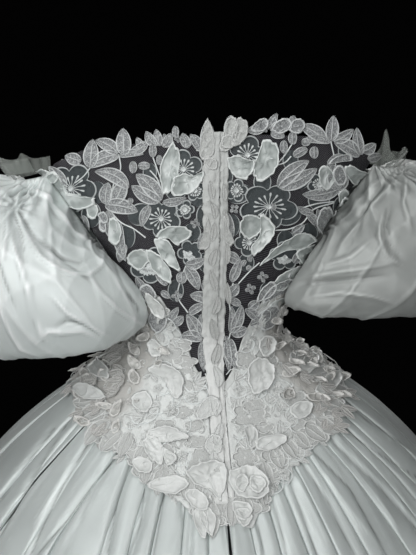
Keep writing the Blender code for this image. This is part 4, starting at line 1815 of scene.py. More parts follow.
def make_sheet(
    name: str, points: np.ndarray, wall: float, cloth: Cloth, replaces: Sequence[str],
    mark: np.ndarray | float = 0.0, closed: bool = False,
) -> bpy.types.Object:
    """Makes a sheet of cloth with a thickness, and puts it on the gown.

    Args:
        name: the name of the piece.
        points: its grid.
        wall: its thickness.
        cloth: its finish.
        replaces: the solids that it stands for.
        mark: the marks of its points.
        closed: whether the grid is a tube.

    Returns:
        The sheet.
    """
    weaving = Weaving()
    weaving.add_wall(points, flat_cloth(points, closed), wall, closed, mark)
    return dress(weaving.make(name, [cloth]), replaces)


def seam_groove(share: np.ndarray, width: float) -> np.ndarray:
    """How far a panel dips at its two side seams, 1 at the seam, for shares across it."""
    edge = np.minimum(share, 1 - share) / width
    return np.exp(-(edge**2))


@dataclass(frozen=True)
class Panel:
    """A panel that lies on the figure between two lines and two seams."""

    name: str
    node: str
    first: float
    last: float
    bottom: Callable[[np.ndarray], np.ndarray]
    top: Callable[[np.ndarray], np.ndarray]
    cloth: Cloth
    slot: str
    wall: float
    columns: int
    rows: int
    pucker: float = 0.0004
    rests_on: tuple[str, ...] = ()

    def grid(self) -> np.ndarray:
        """The points of its outer face.

        Returns:
            The grid.
        """
        share = np.linspace(0, 1, self.columns)[None]
        angle = self.first + (self.last - self.first) * share
        low, high = self.bottom(angle) + SEAM_GAP, self.top(angle) - SEAM_GAP
        height = low + (high - low) * np.linspace(0, 1, self.rows)[:, None]
        gap = np.degrees(SEAM_GAP / FIGURE.radius(angle, height))
        back = FIGURE.beside(np.full(height.shape, EDGE_AT_BACK), height)
        at_first = back if self.first == 0 else gap
        at_last = back if self.last == 0 else gap
        angle = angle + at_first * (1 - share) - at_last * share
        metres = np.radians(angle) * FIGURE.radius(angle, height)
        uneven = Waves(int(abs(self.first) * 7 + self.rows), 0.09, 0.03).at(metres, height)
        puckers = np.sin(metres * math.tau / 0.007 + uneven) * seam_groove(share, 0.05)
        out = self.pucker * (uneven + 0.5 * puckers) - 0.0007 * seam_groove(share, 0.012)
        return FIGURE.point(angle, height, out)

    def build(self, with_pieces: Sequence[bpy.types.Object] = ()) -> bpy.types.Object:
        """Makes the panel.

        Args:
            with_pieces: the pieces sewn on it; not used.

        Returns:
            The panel.
        """
        points = self.grid()
        piece = make_sheet(self.name, points, self.wall, self.cloth, [self.node])
        return piece


def waist_line(angle: np.ndarray) -> np.ndarray:
    """The height of the pointed waist seam."""
    return line_height(WAIST_SEAM, angle)


def net_line(angle: np.ndarray) -> np.ndarray:
    """The height of the lower edge of the net."""
    return line_height(NET_SEAM, angle)


@dataclass(frozen=True)
class Bodice:
    """The lined satin panels of the bodice."""

    wall: float = 0.0016

    def build(self) -> None:
        """Makes two backs, two side fronts and a front."""
        spans = {
            "bodice_back_left": (-90, 0, net_line, 46, 26),
            "bodice_back_right": (0, 90, net_line, 46, 26),
            "bodice_side_front_left": (210, 270, top_height, 53, 46),
            "bodice_side_front_right": (90, 150, top_height, 53, 46),
            "bodice_front": (150, 210, top_height, 53, 46),
        }
        for node, (first, last, top, *counts) in spans.items():
            edges = (first, last, waist_line, top)
            Panel(f"{node}_satin", node, *edges, Cloth.SATIN, "satin", self.wall, *counts).build()


def lap_taper(height: np.ndarray) -> np.ndarray:
    """How much narrower the laps are at a height than at the neck."""
    return 1 - 0.26 * ease((0.10 - height) / 0.20)


@dataclass(frozen=True)
class Lap:
    """One of the two laps over the zip, crepe with uneven ridges along it and knobbly edges."""

    side: str
    reach: tuple[float, float]
    lift: float
    seed: int
    top: float = 0.312
    bottom: float = -0.172
    wall: float = 0.0011

    def build(self) -> bpy.types.Object:
        """Makes the lap.

        Returns:
            The lap.
        """
        share = np.linspace(0, 1, 19)[None]
        height = np.linspace(self.bottom, self.top, 130)[:, None]
        edge = np.sign(share - 0.5) * np.abs(2 * share - 1) ** 5
        frayed = 0.0010 * Waves(self.seed, 1.0, 0.012).at(edge * 3, height) * np.abs(edge)
        distance = (self.reach[0] + (self.reach[1] - self.reach[0]) * share) * lap_taper(height) + frayed
        distance = distance + 0.0012 * np.sin(height * 31 + self.seed) * (1 - 0.6 * share)
        ridges = Waves(self.seed + 1, 0.0075, 0.07).at(distance, height)
        tucks = Waves(self.seed + 3, 0.02, 0.012).at(distance, height)
        knobs = Waves(self.seed + 2, 0.004, 0.007).at(distance, height) * np.abs(edge)
        swell = 1 - np.abs(2 * share - 1) ** 3
        low = ease((0.075 - height) / 0.06)
        relief = 0.0003 * ridges * swell + 0.0005 * tucks + 0.0003 * knobs
        out = self.lift + 0.0008 * swell * (1 - 0.6 * low) + relief
        height, distance = np.broadcast_arrays(height, distance)
        points = FIGURE.on(FIGURE.beside(distance, height), height, out)
        node = f"placket_{self.side}"
        piece = make_sheet(f"{node}_crepe", points, self.wall, Cloth.LAP, [node], low)
        return piece


# ------------------------------------------------------------------------------
# The lace of the back, laid out on the chart


class Leaf(NamedTuple):
    """A leaf of the lace on the chart: where it grows from, its tip, its width and its bend."""

    base: Place
    tip: Place
    width: float
    bend: float = 0.0


class Bud(NamedTuple):
    """An oval bud on the chart: its middle, its length upwards, its width and its turn in degrees."""

    middle: Place
    length: float
    width: float
    turn: float = 0.0

    def ends(self) -> tuple[np.ndarray, np.ndarray]:
        """The two ends of the bud."""
        way = np.array((math.sin(math.radians(self.turn)), -math.cos(math.radians(self.turn))))
        return np.array(self.middle) - way * self.length / 2, np.array(self.middle) + way * self.length / 2


class Bloom(NamedTuple):
    """A sheer flower on the chart: its middle, radius, turn and squash, and the sweep of its stamens."""

    middle: Place
    radius: float
    turn: float = 0.0
    squash: float = 1.0
    first: float = 0.0
    last: float = 360.0


YOKE_LEAVES = (
    Leaf((82, 161), (66, 155), 11), Leaf((90.5, 167), (93.4, 139), 14), Leaf((119, 153), (96, 140), 12, 0.08),
    Leaf((119, 155), (90.5, 167), 13, 0.12), Leaf((124.4, 155), (123.5, 128), 14),
    Leaf((131, 152), (149, 140), 9, 0.1), Leaf((120, 156), (144, 154), 7, -0.1),
    Leaf((161.7, 200), (136.4, 173.5), 15, 0.05), Leaf((160.5, 201), (131.8, 185), 13, -0.05),
    Leaf((162.8, 202), (186.4, 197), 8, 0.08), Leaf((129.5, 187), (95.7, 170.6), 13, 0.12),
    Leaf((106.6, 203), (109, 181.5), 12, -0.05), Leaf((113.5, 203), (125, 178), 14, 0.05),
    Leaf((106, 204), (138.7, 211), 14, -0.06), Leaf((109, 209), (118, 242), 12, 0.05),
    Leaf((120.4, 222), (127.2, 260), 10, 0.08), Leaf((103, 213), (107, 228), 8),
    Leaf((204, 232), (198, 248), 6), Leaf((208, 156), (207, 120), 14), Leaf((200, 150), (190, 134), 9, 0.08),
    Leaf((188, 148), (182, 133), 9), Leaf((163, 147), (171, 133), 9, 0.08),
    Leaf((157, 146), (146, 131), 9, -0.08), Leaf((160, 146), (156, 129), 8), Leaf((143, 150), (137, 137), 7),
    Leaf((186, 264), (205, 258), 10, 0.1), Leaf((186, 266), (199, 289), 11, -0.06),
    Leaf((209, 294), (203, 279), 8), Leaf((208, 299), (190, 294), 10, 0.06),
    Leaf((189, 313), (206, 303), 8, -0.06), Leaf((200, 337), (187, 313), 12, 0.05),
    Leaf((203, 337), (201, 313), 9), Leaf((203, 338), (180, 336), 11, 0.1), Leaf((170, 320), (179, 306), 7),
    Leaf((175, 324), (184, 315), 8), Leaf((202, 340), (204, 372), 6, 0.05),
    Leaf((205, 340), (211, 376), 5, -0.05), Leaf((162, 290), (171, 297), 6),
    Leaf((66, 190), (50, 165), 11, 0.1), Leaf((58, 214), (52, 236), 10, 0.06), Leaf((84, 214), (88, 236), 10),
    Leaf((150, 205), (142, 226), 9, 0.06), Leaf((176, 256), (167, 262), 7),
    Leaf((168, 284), (156, 273), 8, 0.08), Leaf((232, 142), (230, 115), 14),
    Leaf((238, 140), (244, 120), 10, 0.06), Leaf((226, 147), (218, 138), 7),
    Leaf((247, 131), (268, 124), 9, 0.08), Leaf((268, 127), (276.5, 113.5), 7),
    Leaf((270, 131), (287, 123), 10, -0.05), Leaf((270, 133), (284, 137), 9, -0.08),
    Leaf((325, 141), (299, 125), 13, 0.06), Leaf((329, 142), (301, 141), 8, 0.1),
    Leaf((330, 141), (332.6, 115.5), 12), Leaf((332, 141), (352, 129), 10, 0.08),
    Leaf((358, 155), (333, 142), 13, 0.1), Leaf((360, 154), (355.5, 127.5), 10, -0.05),
    Leaf((361, 151), (374, 143), 10, 0.08), Leaf((366, 158), (380, 154), 8),
    Leaf((277, 187), (308, 160), 14, -0.06), Leaf((278, 187), (316, 168), 14, 0.05),
    Leaf((336, 189), (327, 162), 15, 0.05), Leaf((337, 188), (344, 172), 12),
    Leaf((344, 156), (326, 162), 7, 0.08), Leaf((339, 187), (301, 194), 12, -0.08),
    Leaf((291, 233), (303, 224), 8), Leaf((323, 236), (316, 208), 12, 0.05),
    Leaf((326, 234), (331, 215), 10, -0.04), Leaf((222, 209), (232, 239), 9, -0.05),
    Leaf((239, 261), (221, 253), 10, 0.06), Leaf((343, 230), (352, 212), 11, 0.06),
    Leaf((231, 281), (240, 258), 9), Leaf((227, 294), (238, 283), 10, 0.08), Leaf((240, 304), (228, 297), 7),
    Leaf((230, 332), (231, 305), 7, 0.06), Leaf((232, 331), (241, 304), 10, 0.05),
    Leaf((230, 332), (246, 327), 11, 0.08), Leaf((258, 319), (244, 308), 9, 0.06),
    Leaf((258, 320), (249, 324), 8), Leaf((248, 308), (258, 300), 9), Leaf((229, 338), (236, 368), 12, 0.08),
    Leaf((226, 340), (229, 372), 7), Leaf((296, 280), (309, 266), 9, 0.08),
    Leaf((126, 243), (121, 261), 9, 0.05), Leaf((146, 294), (137, 276), 8, 0.05),
    Leaf((316, 224), (304, 212), 8, 0.08), Leaf((312, 212), (296, 206), 7, -0.08),
    Leaf((292, 262), (300, 250), 8),
)
YOKE_BUDS = (
    Bud((133.6, 166.6), 12, 8), Bud((144.5, 165.4), 12, 8, 90), Bud((153, 150.5), 13, 8),
    Bud((159.4, 159.7), 10, 6), Bud((175.5, 132), 12, 7), Bud((182, 276.5), 12, 11), Bud((206, 350), 8, 6),
    Bud((226.5, 344), 9, 7), Bud((225, 337), 5, 6), Bud((291.8, 138), 13, 9), Bud((299, 152), 16, 9, 60),
    Bud((313, 152), 12, 9), Bud((283, 146.6), 13, 8), Bud((304.6, 142), 9, 8, 90), Bud((292, 120), 9, 7),
    Bud((243, 262), 7, 5, 30), Bud((249, 258), 6, 5), Bud((248, 267), 6, 5, 60), Bud((131, 200), 6, 6),
    Bud((272, 206), 7, 7),
)
YOKE_BLOOMS = (
    Bloom((72.7, 187), 25, 10), Bloom((161.7, 218), 20, 20), Bloom((183.5, 169), 20, 50),
    Bloom((185, 209), 10, 0), Bloom((190, 252), 13, 30, 1, 40, 200), Bloom((268, 206), 30, 15, 0.78),
    Bloom((247, 155), 20, 70), Bloom((248.5, 241.6), 15, 30), Bloom((283, 255.6), 15, 50, 1, 20, 170),
    Bloom((236, 190), 12, 0), Bloom((318, 184), 12, 20), Bloom((195, 190), 11, 40),
    Bloom((150, 264), 20, 10, 0.95, 30, 150),
)
YOKE_VEILS = (
    Bud((176, 190), 20, 22), Bud((200, 196), 22, 20, 30), Bud((206, 216), 26, 20),
    Bud((140, 214), 24, 22, 60), Bud((128, 236), 24, 16), Bud((98, 192), 22, 18), Bud((92, 214), 26, 20),
    Bud((206, 262), 20, 16), Bud((176, 290), 22, 16), Bud((196, 322), 16, 14), Bud((150, 172), 18, 14),
    Bud((226, 176), 18, 14), Bud((240, 194), 24, 18, 60), Bud((232, 225), 22, 16), Bud((262, 182), 22, 18),
    Bud((288, 215), 26, 20, 70), Bud((300, 178), 22, 20), Bud((318, 200), 20, 22), Bud((285, 240), 20, 18),
    Bud((246, 262), 18, 16), Bud((266, 290), 16, 14), Bud((236, 312), 16, 12), Bud((345, 150), 18, 16),
    Bud((290, 160), 20, 16), Bud((340, 205), 20, 16, 20), Bud((308, 232), 18, 18), Bud((162, 262), 18, 14),
    Bud((192, 232), 18, 18),
)
YOKE_BLOSSOMS = (
    (195, 222.8, 9), (177.4, 295, 10), (233.8, 208.4, 9), (249.5, 288, 10), (261.6, 276, 10), (219, 246, 7),
    (150, 186, 8), (304, 178, 7), (151, 138, 8), (165, 138, 8), (178, 139, 7), (191, 141, 8), (265, 128, 8),
    (295, 131, 7),
)
YOKE_CORDS = (
    ((161.7, 198.7), (161.7, 182.7), (157, 168), (153, 157)), ((161.7, 190), (157, 178), (150, 170)),
    ((276.5, 164), (285, 154), (291, 144.6)), ((276.5, 165), (285, 162), (290.6, 156)),
    ((274, 230), (290, 228), (302, 222), (311, 210), (332.6, 202)),
    ((299.5, 208), (316, 203), (332.6, 200.8)), ((119, 154), (121, 168), (114, 184), (113.5, 203)),
    ((204, 232), (207, 250), (205, 270), (209, 294)), ((203, 337), (206, 344), (206, 350)),
    ((230, 332), (228, 340), (226.5, 344)), ((330, 141), (334, 160), (337, 188)),
    ((339, 187), (347, 200), (345, 214), (338, 222)), ((186, 265), (180, 282), (178, 295), (188, 312)),
    ((233, 282), (229, 296), (230, 312), (230, 332)), ((91, 167), (84, 176), (76, 182)),
    ((196, 150), (203, 152), (208, 157)), ((246, 132), (240, 138), (234, 143)),
    ((146, 237), (134, 228), (122, 222), (108, 206)), ((259, 262), (250, 270), (238, 283)),
)


@dataclass(frozen=True)
class YokeLace:
    """The leaves, sheer flowers, buds and cords that are sewn on the net of one side of the back."""

    side: str
    centre_line: float = 217.0
    white_below: float = 380.0
    lift: float = 0.0012

    def has(self, place: Place) -> bool:
        """Whether a place on the chart is on this side."""
        return (place[0] < self.centre_line) == (self.side == "left")

    def lap_finish(self, place: Place) -> int:
        """The number of the finish of the lace on a lap, white low down."""
        return 5 if place[1] > self.white_below else 4

    def build(self) -> bpy.types.Object:
        """Makes the lace as one piece, sewn through all its layers.

        Returns:
            The lace.
        """
        drawing = Drawing(SeenGround(self.lift))
        for veil in (veil for veil in YOKE_VEILS if self.has(veil.middle)):
            drawing.blade(*veil.ends(), veil.width, 0, 0.0004, 1, Outline.OVAL, 0.0004, 0.0004)
        for bloom in (bloom for bloom in YOKE_BLOOMS if self.has(bloom.middle)):
            drawing.flower(bloom.middle, bloom.radius, bloom.turn, bloom.squash)
            drawing.stamens(bloom.middle, bloom.radius * 0.58, 15, bloom.first, bloom.last, bloom.squash)
            drawing.cup(bloom.middle, 2.2, 0.0012, 0.0030, 2)
        for path in (path for path in YOKE_CORDS if self.has(path[0])):
            drawing.cord(path, 1.3, 0.0012, 2)
        for leaf in (leaf for leaf in YOKE_LEAVES if self.has(leaf.base)):
            drawing.blade(leaf.base, leaf.tip, leaf.width * 1.12, leaf.bend, 0.0020)
        for bud in (bud for bud in YOKE_BUDS if self.has(bud.middle)):
            drawing.blade(*bud.ends(), bud.width, 0, 0.0034, 0, Outline.OVAL, -0.0016)
        for across, down, size in (spot for spot in YOKE_BLOSSOMS if self.has(spot[:2])):
            drawing.blossom((across, down), size, across)
        for number, patch in enumerate(patch for patch in EDGE_LACE if self.has(patch.outline[0])):
            drawing.patch(patch, 0.0022 + 0.0006 * (number % 3), 0 if number % 3 else 3, 0.0007)
        for patch in (patch for patch in LAP_ENDS if self.has(patch.outline[0])):
            drawing.patch(patch, OVER_LAP_LIFT, self.lap_finish(patch.outline[0]), 0.0006)
        for leaf in (leaf for leaf in LAP_LEAVES if self.has(leaf.base)):
            above, finish = OVER_LAP_LIFT + 0.0010, self.lap_finish(leaf.base)
            drawing.blade(*leaf, above, finish, cup=0.0002, cord=0.0003)
        cloths = (Cloth.LEAF, Cloth.ORGANZA, Cloth.THREAD, Cloth.PETAL, Cloth.LAP_LEAF, Cloth.WHITE_LEAF)
        return drawing.make(f"yoke_lace_{self.side}", cloths, "lace", [f"lace_neck_{self.side}"])


@dataclass(frozen=True)
class FrontNeckLace:
    """The leaves that edge the neckline round the front, from one sleeve to the other."""

    seed: int = 4

    def build(self) -> bpy.types.Object:
        """Makes the edging as one piece.

        Returns:
            The edging.
        """
        ground = WrappedGround(0.0010)
        drawing = Drawing(ground)
        draw = np.random.default_rng(self.seed)
        for angle in np.linspace(107, 253, 25):
            edge = float(top_height(angle))
            foot = np.array(ground.place(angle, edge - 0.010))
            for turn, length in ((-50, 13), (-8, 16), (34, 14), (150, 11), (205, 13)):
                way = math.radians(turn + draw.uniform(-12, 12))
                long = length * draw.uniform(0.85, 1.1)
                tip = foot + np.array((math.sin(way), -math.cos(way))) * long
                drawing.blade(foot, tip, long * 0.44, draw.uniform(-0.1, 0.1), 0.0020, steps=9)
        line = [ground.place(angle, float(top_height(angle)) - 0.010) for angle in np.linspace(107, 253, 40)]
        drawing.cord(line, 2.0, 0.0026, 1)
        return drawing.make("neck_lace_front", (Cloth.WHITE_LEAF, Cloth.THREAD), "lace", ["lace_neck_front"])


@dataclass(frozen=True)
class NetBack:
    """The illusion net of one side of the back, with the lace that it carries."""

    side: str
    wall: float = 0.0008

    def build(self, lace: Sequence[bpy.types.Object]) -> None:
        """Makes the net.

        Args:
            lace: the pieces sewn on it.
        """
        edges = (*((-85, 0) if self.side == "left" else (0, 85)), net_line, top_height)
        node, under = f"net_back_{self.side}", f"bodice_back_{self.side}_satin"
        Panel(f"{node}_net", node, *edges, Cloth.SHADED_NET, "net", self.wall, 54, 46, 0.0003, (under,)).build(lace)


FLOWERS = {
    "flower_upper_left": (
        Patch(((172, 143), (179, 151), (180, 163), (178, 176), (172, 190), (164, 193), (161, 179),
               (162, 160)), 0.006, 180),
        Patch(((183, 172), (193, 175), (203, 170), (202, 180), (194, 190), (183, 195), (172, 194),
               (173, 180)), 0.007, -90),
    ),
    "flower_lower_left": (
        Patch(((157, 235), (163, 227), (174, 224), (186, 226), (193, 233), (184, 240), (177, 245),
               (169, 238)), 0.006, -90),
        Patch(((156, 238), (165, 236), (173, 244), (177, 256), (181, 268), (171, 265), (160, 253)),
              0.006, -30),
    ),
    "flower_bud_left": (
        Patch(((131, 253), (139, 246), (148, 250), (150, 260), (141, 269), (132, 263)), 0.008, -120, 0.0008),
        Patch(((148, 248), (158, 251), (168, 262), (173, 272), (171, 281), (160, 275), (151, 264)),
              0.005, -30),
    ),
    "flower_upper_right": (
        Patch(((226, 158), (237, 155), (246, 159), (254, 160), (252, 170), (246, 179), (235, 177),
               (229, 168)), 0.008, -90, 0.0022),
        Patch(((263, 139), (271, 141), (277, 151), (275, 166), (267, 177), (256, 180), (252, 171),
               (257, 154)), 0.006, 0),
    ),
    "flower_middle_right": (
        Patch(((240, 217), (249, 213), (260, 217), (262, 226), (256, 235), (246, 237), (238, 228)),
              0.009, 180, 0.0008),
        Patch(((259, 214), (269, 218), (272, 229), (265, 242), (254, 254), (250, 246), (259, 233)), 0.006, 0),
    ),
    "flower_lower_right": (
        Patch(((260, 263), (269, 251), (281, 240), (294, 232), (306, 231), (313, 238), (300, 247),
               (281, 251)), 0.006, -100),
        Patch(((294, 250), (304, 245), (312, 243), (309, 255), (305, 264), (296, 259)), 0.005, 60),
    ),
    "flower_shoulder_left": (
        Patch(((44, 178), (54, 171), (63, 180), (68, 191), (82, 195), (98, 197), (91, 205), (76, 206),
               (60, 198)), 0.004, 90),
        Patch(((48, 174), (55, 169), (61, 174), (58, 181), (51, 180)), 0.004, 180),
    ),
    "flower_shoulder_right": (
        Patch(((342, 169), (347, 163), (357, 168), (369, 172), (366, 182), (357, 187), (347, 178)),
              0.004, -60),
        Patch(((337, 205), (342, 195), (349, 200), (345, 208)), 0.003, 0),
    ),
    "flower_waist_right": (
        Patch(((228, 477), (236, 470), (248, 468), (260, 475), (268, 487), (264, 498), (248, 501),
               (233, 494)), 0.007, -20),
        Patch(((235, 481), (242, 477), (248, 484), (242, 495), (235, 490)), 0.005, -90),
        Patch(((250, 478), (260, 480), (264, 489), (256, 496), (248, 489)), 0.005, 0),
    ),
}


def satin_flowers() -> dict[str, bpy.types.Object]:
    """Makes the nine flowers of satin petals that stand up from the lace.

    Returns:
        The flowers by their names.
    """
    made = {}
    for name, petals in FLOWERS.items():
        waist = name == "flower_waist_right"
        drawing = Drawing(SeenGround(WAIST_LACE_LIFT + 0.0015 if waist else 0.0012))
        for number, petal in enumerate(petals):
            drawing.patch(petal, 0.0024 + 0.0012 * number)
        cloth = Cloth.LINED_PETAL if waist else Cloth.PETAL
        made[name] = drawing.make(f"{name}_petals", [cloth], "petal", [name])
    return made


BODICE_PETALS = (
    Patch(((150, 372), (158, 365), (170, 365), (181, 373), (185, 386), (179, 399), (172, 396), (165, 381)),
          0.004, -30, 0.0016),
    Patch(((146, 437), (157, 430), (169, 428), (181, 433), (190, 440), (177, 442), (164, 444), (153, 442)),
          0.006, -90),
    Patch(((144, 442), (152, 437), (161, 442), (164, 454), (162, 467), (153, 462), (146, 453)), 0.004, 180),
    Patch(((162, 449), (170, 452), (178, 460), (168, 468)), 0.003, 90),
    Patch(((186, 476), (197, 467), (211, 463), (224, 467), (226, 482), (221, 502), (210, 492), (197, 487)),
          0.007, -90, 0.0022),
    Patch(((254, 443), (266, 437), (283, 437), (284, 444), (272, 451), (258, 452)), 0.004, -60),
    Patch(((243, 431), (250, 426), (257, 433), (256, 447), (249, 450)), 0.005, 180),
    Patch(((248, 363), (257, 358), (268, 364), (272, 376), (267, 389), (254, 396), (247, 383)),
          0.005, 0, 0.0022),
    Patch(((257, 339), (264, 334), (271, 341), (269, 353), (262, 358), (257, 350)), 0.005, 0, 0.0018),
    Patch(((152, 341), (158, 338), (164, 348), (162, 357), (154, 356)), 0.004, 180, 0.0018),
    Patch(((148, 290), (158, 296), (167, 306), (166, 316), (156, 312), (149, 300)), 0.004, 0, 0.0018),
    Patch(((86, 362), (98, 364), (112, 373), (112, 382), (98, 380), (89, 372)), 0.005, -90),
    Patch(((77, 392), (88, 388), (103, 393), (109, 401), (95, 403), (83, 400)), 0.004, -90, 0.0014),
    Patch(((134, 398), (146, 392), (154, 402), (148, 414), (136, 410)), 0.003, 180),
    Patch(((296, 372), (303, 358), (315, 352), (316, 364), (307, 376)), 0.004, 0),
    Patch(((312, 393), (322, 380), (336, 374), (338, 384), (326, 396)), 0.004, 0),
    Patch(((288, 410), (298, 402), (310, 406), (306, 418), (294, 420)), 0.003, 0),
    Patch(((184, 494), (196, 490), (208, 500), (206, 512), (194, 510)), 0.003, 90, 0.0008),
    Patch(((198, 512), (208, 508), (216, 520), (212, 537), (203, 528)), 0.003, 90, 0.0008),
    Patch(((193, 514), (201, 509), (208, 523), (205, 540), (197, 532)), 0.003, 90, 0.0008),
    Patch(((234, 512), (246, 509), (252, 519), (242, 529)), 0.003, 90, 0.0010),
    Patch(((232, 503), (246, 503), (252, 512), (244, 522), (234, 516)), 0.003, 90, 0.0016),
    Patch(((133, 461), (143, 458), (154, 465), (150, 475), (138, 473)), 0.003, 90, 0.0008),
    Patch(((148, 487), (160, 479), (178, 477), (190, 485), (178, 495), (160, 494)), 0.002, 90, 0.0008),
)
EDGE_LACE = (
    Patch(((316, 171), (323, 164), (331, 170), (334, 180), (326, 189), (318, 183)), 0.004, 180, 0.0008),
    Patch(((327, 163), (335, 155), (348, 153), (350, 159), (340, 161)), 0.003, -90, 0.0008),
    Patch(((331, 171), (338, 163), (343, 172), (343, 181), (335, 184)), 0.003, 0, 0.0008),
    Patch(((337, 191), (344, 188), (350, 200), (346, 212), (339, 208)), 0.004, 0, 0.0014),
    Patch(((313, 218), (321, 206), (330, 208), (331, 228), (325, 237), (316, 229)), 0.004, 180, 0.0010),
    Patch(((331, 212), (338, 208), (342, 218), (336, 232), (331, 236)), 0.004, 0, 0.0014),
    Patch(((322, 236), (331, 232), (327, 246), (318, 257), (309, 268), (309, 254)), 0.004, 0, 0.0014),
    Patch(((292, 266), (302, 264), (309, 270), (303, 281), (291, 284), (286, 277)), 0.004, 0, 0.0010),
    Patch(((261, 302), (266, 289), (278, 279), (293, 276), (300, 281), (290, 289), (277, 294)),
          0.005, -60, 0.0010),
    Patch(((264, 312), (271, 301), (284, 294), (297, 293), (290, 300), (277, 306)), 0.005, -60, 0.0010),
    Patch(((258, 322), (262, 309), (272, 303), (279, 311), (272, 324), (262, 330)), 0.004, 0, 0.0010),
    Patch(((88, 205), (95, 201), (100, 209), (97, 217), (90, 214)), 0.003, 90, 0.0008),
    Patch(((99, 213), (106, 210), (111, 218), (105, 222)), 0.003, 0, 0.0004),
    Patch(((101, 219), (107, 221), (109, 229), (103, 228)), 0.003, 90, 0.0004),
    Patch(((111, 217), (118, 218), (123, 230), (121, 242), (113, 240), (110, 229)), 0.004, 90, 0.0010),
    Patch(((149, 318), (158, 306), (167, 312), (168, 324), (158, 332)), 0.003, 0, 0.0010),
    Patch(((143, 284), (151, 283), (158, 294), (152, 302), (145, 296)), 0.004, 180, 0.0010),
    Patch(((36, 172), (44, 166), (52, 170), (47, 179), (38, 180)), 0.004, -90, 0.0014),
    Patch(((250, 131), (254, 123), (262, 118), (268, 123), (263, 131)), 0.003, -90, 0.0014),
    Patch(((268, 288), (277, 276), (290, 266), (299, 268), (291, 279), (279, 290)), 0.004, 0, 0.0014),
    Patch(((271, 130), (276, 121), (285, 118), (291, 124), (286, 131), (278, 134)), 0.003, -90, 0.0014),
    Patch(((288, 130), (292, 120), (300, 119), (304, 127), (297, 134)), 0.003, -90, 0.0014),
    Patch(((297, 262), (304, 251), (311, 247), (312, 258), (304, 267)), 0.003, 0, 0.0010),
    Patch(((255, 300), (260, 288), (270, 279), (274, 286), (266, 297)), 0.004, 0, 0.0014),
)
LAP_LEAVES = (
    Leaf((212, 197), (209, 180), 7), Leaf((214, 217), (210, 200), 7, 0.1), Leaf((211, 240), (214, 221), 7),
    Leaf((211, 264), (216, 247), 8, -0.1), Leaf((215, 288), (210, 268), 8),
    Leaf((212, 312), (217, 293), 8, 0.1), Leaf((215, 337), (211, 316), 9), Leaf((213, 364), (218, 342), 9),
    Leaf((218, 388), (213, 366), 9, 0.1), Leaf((216, 418), (210, 396), 11, 0.1),
    Leaf((215, 447), (221, 424), 10), Leaf((219, 474), (213, 452), 11, -0.1), Leaf((224, 200), (223, 182), 6),
    Leaf((226, 228), (224, 208), 6), Leaf((226, 262), (227, 240), 6), Leaf((228, 302), (226, 280), 6),
)
LAP_ENDS = (
    Patch(((199, 247), (203, 232), (207, 216), (210, 232), (208, 246)), 0.001, -90, 0.0006),
    Patch(((223, 214), (228, 226), (233, 241), (227, 244), (222, 232)), 0.001, -90, 0.0006),
    Patch(((196, 415), (204, 400), (216, 398), (219, 408), (210, 418), (200, 422)), 0.002, -90, 0.0008),
    Patch(((204, 446), (212, 436), (221, 440), (220, 454), (210, 456)), 0.002, -60, 0.0008),
    Patch(((200, 158), (200, 143), (203, 128), (207, 119), (212, 129), (214, 142), (212, 156)),
          0.001, -90, 0.0012),
    Patch(((203, 159), (210, 157), (217, 161), (215, 169), (208, 168)), 0.001, 0, 0.0006),
    Patch(((222, 147), (223, 131), (228, 117), (235, 119), (236, 133), (232, 147)), 0.002, -90, 0.0014),
    Patch(((230, 145), (233, 128), (238, 117), (246, 123), (246, 135), (239, 144)), 0.002, -90, 0.0014),
    Patch(((219, 150), (221, 138), (229, 134), (235, 142), (228, 150)), 0.001, -90, 0.0010),
)
HEM_LEAVES = (
    Leaf((104, 382), (82, 360), 12, 0.1), Leaf((98, 390), (69, 388), 11, 0.08),
    Leaf((104, 398), (75, 404), 10, -0.08), Leaf((108, 408), (80, 424), 12, 0.08),
    Leaf((112, 422), (86, 447), 12, 0.06), Leaf((122, 432), (102, 453), 11, 0.06),
    Leaf((132, 434), (120, 459), 10), Leaf((145, 448), (135, 470), 11, -0.06),
    Leaf((152, 460), (145, 486), 11, 0.08), Leaf((164, 470), (157, 497), 12),
    Leaf((175, 474), (171, 500), 11), Leaf((188, 478), (186, 502), 12),
    Leaf((202, 500), (201, 530), 12, 0.05), Leaf((212, 504), (212, 540), 12), Leaf((219, 492), (222, 514), 9),
    Leaf((232, 502), (232, 528), 10), Leaf((244, 498), (247, 521), 11), Leaf((258, 486), (264, 508), 9),
    Leaf((262, 464), (271, 486), 11, 0.06), Leaf((272, 450), (281, 470), 11),
    Leaf((282, 442), (295, 460), 11, -0.06), Leaf((294, 434), (308, 449), 11, 0.08),
    Leaf((304, 428), (324, 442), 11), Leaf((314, 420), (338, 434), 11, 0.06),
    Leaf((318, 404), (345, 413), 11, -0.06), Leaf((318, 390), (346, 393), 10),
    Leaf((306, 376), (334, 370), 11, 0.08), Leaf((294, 362), (312, 346), 10),
)


def leaf_outline(turn: float, long: float) -> tuple[Place, ...]:
    """The outline of a petal with a pointed tip, sewn down at 0, 0.

    Args:
        turn: the way that it points in degrees, 0 upwards and 90 to the right.
        long: its length.

    Returns:
        Its corners.
    """
    corners = ((0.0, 0.0), (0.30, -0.30), (0.72, -0.26), (1.06, 0.0), (0.70, 0.20), (0.28, 0.24))
    up, right = math.cos(math.radians(turn)) * long, math.sin(math.radians(turn)) * long
    return tuple((right * along + up * aside, -up * along + right * aside) for along, aside in corners)


def side_share(angle: np.ndarray) -> np.ndarray:
    """How far the lace at an angle is one of the side tiers, 0 at the centre and 1 at the sides."""
    return ease((near_side(angle) - 36) / 26) * ease((150 - near_side(angle)) / 30)


